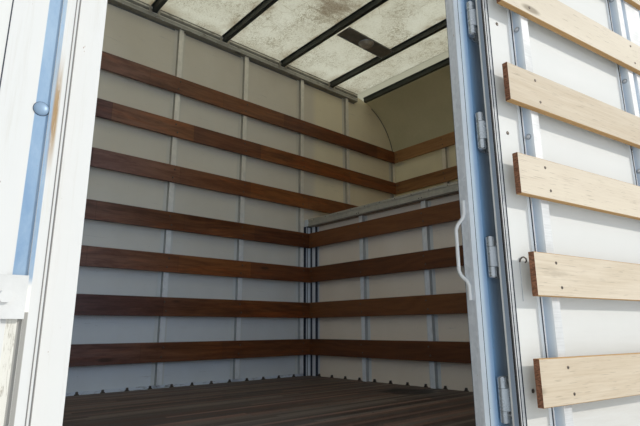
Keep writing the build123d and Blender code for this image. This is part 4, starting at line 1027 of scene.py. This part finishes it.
def corner_posts():
    """Folded posts in the corners of the bulkhead, with dark joints, and the attic rail's end caps."""
    rail_low, rail_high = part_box("attic_rail")
    head = rail_low.z - 0.001
    wall = SKIN_IN - 0.0005
    wall_face = POST_FACE + 0.0015
    front = BULK_SKIN - 0.0005
    front_face = BULK_POST + 0.0015
    for sign, side in SIDES:
        post = Piece()
        joint = Piece()

        def strip(piece, x0, x1, y0, y1, z0=FLOOR + 0.0015, z1=head, ease=0.001):
            near, far = sorted((sign * x0, sign * x1))
            piece.box((near, y0, z0), (far, y1, z1), ease)

        for y0, y1 in ((2.979, 2.987), (2.997, 3.013)):
            strip(post, wall_face, wall, y0, y1)
        for y0, y1 in ((2.967, 2.979), (2.987, 2.997)):
            strip(joint, wall_face + 0.004, wall, y0, y1)
        for x0, x1 in ((1.186, 1.222), (1.252, 1.264)):
            strip(post, x0, x1, front_face, front)
        strip(post, 1.16, 1.182, BULK_SKIN - 0.0025, front)
        for x0, x1 in ((1.182, 1.186), (1.222, 1.252)):
            strip(joint, x0, x1, front_face + 0.004, front)
        cap = (rail_high.x + 0.0005, SKIN_IN - 0.001)
        strip(post, *cap, rail_low.y, BULK_POST - 0.001, head + 0.002, DECK_TOP, 0.002)
        strip(joint, *cap, rail_low.y - 0.002, BULK_POST - 0.001, head - 0.004, head + 0.0015, 0.0005)
        post.done("corner_post_" + side, "corner_zinc")
        joint.done("corner_joint_" + side, "dark_line_coat")


def outer_rivets():
    """Rivet rows outside: two beside each post, and one along each rail."""
    for sign, side in SIDES:
        piece = Piece()
        for y, _ in wall_posts(sign):
            low = 1.53 if y > 3.1 else 0
            high = 2.4 if y > 4.1 else ROOF
            zs = [z for z in row(0.25, 0.1, 27) if low < z < high]
            piece.grid(piece.rivet, sign * SIDE, about(y, *BESIDE_POST), zs, (sign, 0, 0))
        for y in steps(-2.93, 3.6, RIVET_STEP):
            doorway = sign > 0 and DOORWAY[0] < y < DOORWAY[1]
            zs = 2.918 if y >= 3.0 else (2.918, 0.15) if doorway else (2.918, 0.15, 0.186)
            piece.grid(piece.rivet, sign * SIDE, y, zs, (sign, 0, 0))
        piece.done("rivets_" + side, "white_rivet")
    across = row(-1.22, RIVET_STEP, 25)
    piece = Piece()
    piece.grid(piece.rivet, across, NOSE_FRONT, (1.5, 1.9, 2.3), FORWARD)
    piece.done("rivets_nose", "white_rivet")
    piece = Piece()
    piece.grid(piece.rivet, across, FRONT, (0.13, 0.24, 1.44), FORWARD)
    piece.grid(piece.rivet, about(CROSS_POSTS, *BESIDE_POST), FRONT, row(0.3, 0.1, 12), FORWARD)
    piece.done("rivets_bulkhead", "white_rivet")


def nose_arc(reach, angle):
    """Place (y, z) on an arc about the nose's centre."""
    return NOSE_CENTRE[0] + reach * math.cos(angle), NOSE_CENTRE[1] + reach * math.sin(angle)


def nose_trims():
    """Curved cover strips where the nose shell meets the side sheets."""
    path = [(NOSE_FRONT - 0.0005, 1.482), (NOSE_FRONT - 0.0005, NOSE_CENTRE[1])]
    path += [nose_arc(NOSE_RADIUS + 0.0045, math.pi / 2 * i / 16) for i in range(1, 17)]
    profile = ((0, 0), (0, 0.0012), (0.004, 0.002), (0.028, 0.002), (0.032, 0.0012), (0.032, 0))
    straight = 0.48
    for sign, side in SIDES:
        piece = Piece()
        rows = []
        for i, (y, z) in enumerate(path):
            inward = Vector((0, NOSE_CENTRE[0] - y, NOSE_CENTRE[1] - z) if i > 1 else BACK).normalized()
            rows.append([Vector((sign * (SIDE + up), y, z)) + inward * depth for depth, up in profile])
        piece.loft(rows)
        for share in row(0, 1 / 23, 24):
            y, z = NOSE_FRONT - 0.0165, 1.51 + share / straight * 0.86
            if share >= straight:
                y, z = nose_arc(NOSE_RADIUS - 0.0115, (share - straight) / (1 - straight) * math.pi / 2)
            piece.rivet((sign * (SIDE + 0.002), y, z), (sign, 0, 0), 0.0045, 0.0016)
        piece.done("nose_trim_" + side, "rolled_rail")


def roof_details():
    """Clips at the bow ends, rivets along the rails inside, rims and screws at the lamps."""
    clips = Piece()
    rivets = Piece()
    thick = 0.003
    rivet = (0.0042, 0.0016)
    for sign, _ in SIDES:
        near, far = sorted((sign * SLAT_FACE, sign * (SLAT_FACE - thick)))
        starts = about(BOWS, -0.044, 0.026)
        for y in starts:
            clips.box((near, y, TOP_RAIL + 0.03), (far, y + 0.018, ROOF - 0.002), 0.0005)
        zs = (TOP_RAIL + 0.042, ROOF - 0.02)
        rivets.grid(rivets.rivet, sign * (SLAT_FACE - thick), about(starts, 0.009), zs, (-sign, 0, 0), *rivet)
        ys = steps(-2.9, 3.6, CLIP_STEP)
        rivets.grid(rivets.rivet, sign * SLAT_FACE, ys, TOP_RAIL + 0.012, (-sign, 0, 0), *rivet)
    clips.done("bow_clips", "rail_zinc")
    rivets.done("rail_rivets", "bright_bolt")
    rims = Piece()
    low = ROOF - 0.045
    for ahead, behind in ((BOWS[0], BOWS[1]), (BOWS[6], BOWS[7])):
        middle = (ahead + behind) / 2
        rims.ring((-0.475, middle, low - 0.0015), UP, 0.0635, 0.0035, 28, 8)
        rims.ring((-0.475, middle, low - 0.0238), UP, 0.03, 0.0012)
        rims.grid(rims.screw, (-0.53, -0.42), (behind + 0.045, ahead - 0.045), low, DOWN, 0.005, 0.002)
        for x in (-0.546, -0.407):
            rims.box((x, behind + 0.033, low - 0.0035), (x + 0.003, ahead - 0.033, low), 0.0006)
    rims.done("lamp_rims", "lock_steel")


def attic_details():
    """Rivets and screws of the attic rail, the dark gap round the nose, and the deck's screws."""
    piece = Piece()
    face = BULK_POST - 0.032
    piece.grid(piece.rivet, row(-1.16, 0.1547, 16), face, DECK_TOP - 0.011, BACK, 0.0045, 0.0018)
    piece.grid(piece.screw, about(CROSS_POSTS, -0.012, 0.012), face, DECK_TOP - 0.054, BACK, 0.005, 0.002)
    piece.done("attic_rail_rivets")
    arc = [nose_arc(NOSE_RADIUS - 0.008, math.radians(angle)) for angle in row(64, -4, 17)]
    for sign, side in SIDES:
        gap = Piece()
        gap.tube([(sign * (SKIN_IN - 0.002), y, z) for y, z in arc], 0.0035)
        gap.done("nose_gap_" + side, "dark_line_coat")
    piece = Piece()
    piece.grid(piece.screw, row(-1.1, 0.244, 10), (3.12, 3.4, 3.7, 4.0), DECK_TOP, UP, 0.0055, 0.0014)
    piece.done("deck_screws")


def floor_screws():
    piece = Piece()
    dish = [(0.006, -0.0005), (0.0058, 0.0005), (0.002, -0.0003)]
    boards = row(-1.2835, 0.321, 8)
    piece.grid(piece.turned, about(boards, 0.05, 0.26), row(-2.85, 0.305, 19), FLOOR, UP, dish, 8)
    piece.done("floor_screws")


def jamb_details():
    """Seams, bolts and screws of the doorway frame."""
    bolt_x, bolt_y = JAMB_BOLT
    seams = Piece()
    for y, radius in ((0.3698, 0.0009), (0.3748, 0.0013)):
        seams.upright(SIDE, y, 0.2, 2.895, radius)
    seams.done("jamb_seams", "frame_seam")
    seams = Piece()
    seams.grid(seams.ring, bolt_x, bolt_y, JAMB_BOLTS, OUT, 0.0105, 0.0009)
    for y in (0.2855, 1.6365):
        seams.upright(SIDE, y, 0.2, 2.895, 0.0009)
    seams.upright(1.2695, 1.5468, 0.22, 2.84, 0.0012)
    seams.upright(SLAT_FACE + 0.0005, 1.5201, 0.22, 2.84, 0.0007)
    seams.done("frame_seams", "dark_line_coat")
    bolts = Piece()
    dome = [(0.0105, -0.0004), (0.0105, 0.0008), (0.0095, 0.0026), (0.0065, 0.0042), (0.003, 0.0049)]
    bolts.grid(bolts.turned, bolt_x + 0.0003, bolt_y, JAMB_BOLTS, OUT, dome, 20)
    bolts.done("carriage_bolts", "blue_bolt")
    screws = Piece()
    ys = about(AXIS[1], *HINGE_SCREWS)
    zs = about(HINGES, -0.046, -0.016, 0.016, 0.046)
    screws.grid(screws.screw, SIDE + 0.005, ys, zs, OUT, 0.0055, 0.0014)
    cap = [(0.0078, -0.0004), (0.0078, 0.0016), (0.006, 0.003), (0.0025, 0.0036)]
    for end in (-1, 1):
        screws.grid(screws.turned, *AXIS, about(HINGES, end * KNUCKLE_END), (0, 0, end), cap, 12)
    screws.grid(screws.screw, 1.254, 1.5137, (0.694, 0.962), BACK, 0.0038, 0.0012)
    screws.done("frame_screws", "bright_bolt")
    guard = Piece()
    guard.grid(guard.screw, 1.268, row(0.34, 0.24, 6), FLOOR + 0.003, UP, 0.006, 0.0015)
    guard.done("threshold_screws")


def leaf_line(piece, x, y, radius, short=0.002, sides=6):
    """Upright line on the closed leaf, short of its foot and head."""
    piece.upright(x, y, LEAF_Z[0] + short, LEAF_Z[1] - short, radius, sides)


def door_details():
    """Ribs, a seal line and dark lines of painted shade, bright lips of painted highlight, screws, bolts and
    the hooked bracket of the side door leaf.
    """
    edge_face = SKIN_IN - 0.014
    hinge_y = AXIS[1]
    ribs = Piece("side_door")
    for u in (0.0165, 0.0295, 0.0325):
        leaf_line(ribs, edge_face, hinge_y - u, 0.0008)
    leaf_line(ribs, SKIN_IN - 0.007, hinge_y - 0.0375, 0.0008)
    for y in about(LEAF_Y[0], 0.0195, 0.0225, 0.0255):
        leaf_line(ribs, edge_face, y, 0.0007, 0.03)
    ribs.done("door_edge_ribs", "door_edge")
    # Dark lines: the one at 0.0226 is the seal; the others are painted shade in the narrow gaps beside the
    # edge extrusion, the post feet and the stile.
    lines = Piece("side_door")
    leaf_line(lines, SKIN_IN, hinge_y - 0.0402, 0.0013, 0.034)
    leaf_line(lines, SKIN_IN, hinge_y - 0.0555, 0.0022, 0.04)
    leaf_line(lines, edge_face - 0.0002, hinge_y - 0.0226, 0.0017)
    for y in about(DOOR_POSTS, 0.0325):
        leaf_line(lines, SKIN_IN - 0.0025, y, 0.0022, 0.036)
    for y in (DOOR_POSTS[0] - 0.0455, STILE - 0.0655):
        leaf_line(lines, SKIN_IN, y, 0.0008, 0.036)
    lines.done("door_dark_lines", "dark_line_coat")
    # Bright metal lips beside the post flanks: painted highlights along the flank edges.
    highlight_lips = Piece("side_door")
    for y in about(DOOR_POSTS, 0.0275):
        leaf_line(highlight_lips, SKIN_IN - 0.0035, y, 0.0018, 0.036, 8)
    highlight_lips.done("door_post_highlights", "highlight_lip")
    screws = Piece("side_door")
    for dy, dz in ((-0.01, 0.028), (0.006, 0.102)):
        ys = about((*DOOR_POSTS, STILE), dy)
        screws.grid(screws.screw, SLAT_FACE, ys, about(SLAT_Z, dz), IN, 0.005, 0.0018)
    hook_bolt = DOOR_BOLTS[1]
    others = [z for z in DOOR_BOLTS if z != hook_bolt]
    screws.grid(screws.screw, SKIN_IN, hinge_y - 0.098, others, IN, 0.0065, 0.0022)
    screws.grid(screws.screw, edge_face, LEAF_Y[0] + 0.0225, DOOR_BOLTS, IN, 0.0045, 0.0016)
    screws.done("door_screws")
    bolts = Piece("side_door")
    washers = Piece("side_door")
    head = [(0.0076, 0.001), (0.0076, 0.003), (0.0066, 0.0056), (0.004, 0.0074), (0.002, 0.008)]
    washer = [(0.0105, -0.0004), (0.0105, 0.001)]
    for piece, rings in ((bolts, head), (washers, washer)):
        piece.grid(piece.turned, edge_face, about(DOOR_POSTS, 0.0202), DOOR_BOLTS, (-0.03, 1, 0), rings, 16)
    washers.done("door_washers", "zinc_plate")
    ys = [hinge_y - dy for dy in HINGE_SCREWS]
    bolts.grid(bolts.screw, SIDE + 0.005, ys, about(HINGES, -0.018, 0.018), OUT, 0.0055, 0.0014)
    zs = [LEAF_Z[0] + 0.012 + 2.626 * share for share in LOCK_GUIDES]
    bolts.grid(bolts.hexagon, SIDE + 0.005, about(DOOR_LOCK, *GUIDE_BOLTS), zs, OUT, 0.006, 0.0045)
    bolts.done("door_bolts", "bright_bolt")
    rivets = Piece("side_door")
    ys = (LEAF_Y[0] + 0.016, LEAF_Y[1] - 0.086, *DOOR_POSTS)
    rivets.grid(rivets.rivet, SIDE, ys, steps(LEAF_Z[0] + 0.03, LEAF_Z[1] - 0.02, 0.1), OUT, 0.005, 0.0018)
    rivets.done("door_rivets", "white_rivet")
    hook = Piece("side_door")
    x, y = SKIN_IN - 0.0015, hinge_y - 0.093
    bend = ((0, 0, 0.788), (0.002, 0.001, 0.796), (0.004, 0.006, 0.802), (0.006, 0.012, 0.804),
            (0.009, 0.018, 0.8), (0.01, 0.02, 0.792), (0.009, 0.014, 0.787))
    hook.tube([(x - dx, y - dy, z) for dx, dy, z in bend], 0.0024, 8)
    hook.done("door_hook")
    wire = Piece("side_door")
    wire.upright(x, y, 0.672, 0.79, 0.0011)
    wire.done("door_hook_wire", "lock_steel")


def bezel(piece, x, y, z, half_x, half_z, facing):
    """Rubber bezel round a flat lamp."""
    y0, y1 = sorted((y, y + 0.006 * facing))
    wide = 0.005
    for low, high in ((half_z, half_z + wide), (-half_z - wide, -half_z)):
        piece.box((x - half_x - wide, y0, z + low), (x + half_x + wide, y1, z + high), 0.001)
    for low, high in ((-half_x - wide, -half_x), (half_x, half_x + wide)):
        piece.box((x + low, y0, z - half_z), (x + high, y1, z + half_z), 0.001)


def rear_details():
    """Gaskets, strap bolts, pins and trim rivets of the rear doors, and bezels of the lamps."""
    height = REAR_HEAD - REAR_FOOT
    straps = [REAR_FOOT + height / 4 * (i + 0.5) for i in range(4)]
    guides = [REAR_FOOT + 0.006 + (height - 0.012) * share for share in LOCK_GUIDES]
    button = [(0.006, -0.001), (0.006, 0.001), (0.004, 0.0028), (0.0015, 0.0032)]
    cap = [(0.0055, -0.0004), (0.0055, 0.0014), (0.004, 0.0026), (0.0015, 0.003)]
    low, high = REAR_FOOT + 0.026, REAR_HEAD - 0.026
    corners = ((0.012, low), (1.2565, low), (1.2565, high), (0.012, high))
    for sign, side in reversed(SIDES):
        gasket = Piece("rear_" + side)
        ends = [(sign * x, REAR - 0.0027, z) for x, z in corners]
        for start, end in zip(ends, ends[1:] + ends[:1]):
            gasket.tube([start, end], 0.0021, 8)
        gasket.done("rear_gasket_" + side, "black_rubber")
        bolts = Piece("rear_" + side)
        for dx in (0.075, 0.105, 0.135):
            y = REAR_FACE - 0.0052 + (dx - 0.06) * 0.03
            bolts.grid(bolts.turned, sign * (1.2795 - dx), y, about(straps, -0.015, 0.015), BACK, button)
        xs = about(sign * REAR_LOCK, *GUIDE_BOLTS)
        bolts.grid(bolts.hexagon, xs, REAR_FACE - 0.001, guides, BACK, 0.006, 0.0045)
        zs = steps(REAR_FOOT + 0.03, REAR_HEAD, 0.1237)
        bolts.grid(bolts.rivet, (sign * 0.03, sign * 1.25), REAR_FACE, zs, BACK, 0.0045, 0.0016)
        bolts.done("rear_bolts_" + side, "white_rivet")
        pins = Piece()
        x, y = REAR_AXIS
        for end in (-1, 1):
            pins.grid(pins.turned, sign * x, y, about(straps, end * KNUCKLE_END), (0, 0, end), cap, 12)
        pins.done("rear_pins_" + side, "bright_bolt")
    bezels = Piece()
    for x in LAMP_X:
        bezel(bezels, x, REAR, 3.0 - 0.13 / 3, 0.034, 0.014, -1)
    for x in (0.12 - SIDE, SIDE - 0.12):
        bezel(bezels, x, REAR, 0.126, 0.077, 0.0205, -1)
    bezels.done("lamp_bezels_rear", "black_rubber")
    bezels = Piece()
    for x in LAMP_X:
        bezel(bezels, x, NOSE_FRONT, 2.345, 0.034, 0.014, 1)
    bezels.done("lamp_bezels_front", "black_rubber")


def underside_bolts():
    piece = Piece()
    crossings = row(-2.74, 0.305, 19)
    piece.grid(piece.hexagon, (-0.392, 0.392), about(crossings, -0.018, 0.018), 0.095, DOWN, 0.007, 0.005)
    piece.done("sill_bolts", "bright_bolt")


materials = {}
make_camera()
make_light()
make_stage()
make_materials()
for finish, names in FINISHED_NODES.items():
    for name in names.split():
        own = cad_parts[name].data.materials
        own.clear()
        own.append(materials[finish])

slat_screws()
wall_base()
corner_posts()
outer_rivets()
nose_trims()
roof_details()
attic_details()
floor_screws()
jamb_details()
door_details()
rear_details()
underside_bolts()

bpy.context.scene.view_settings.view_transform = "Standard"
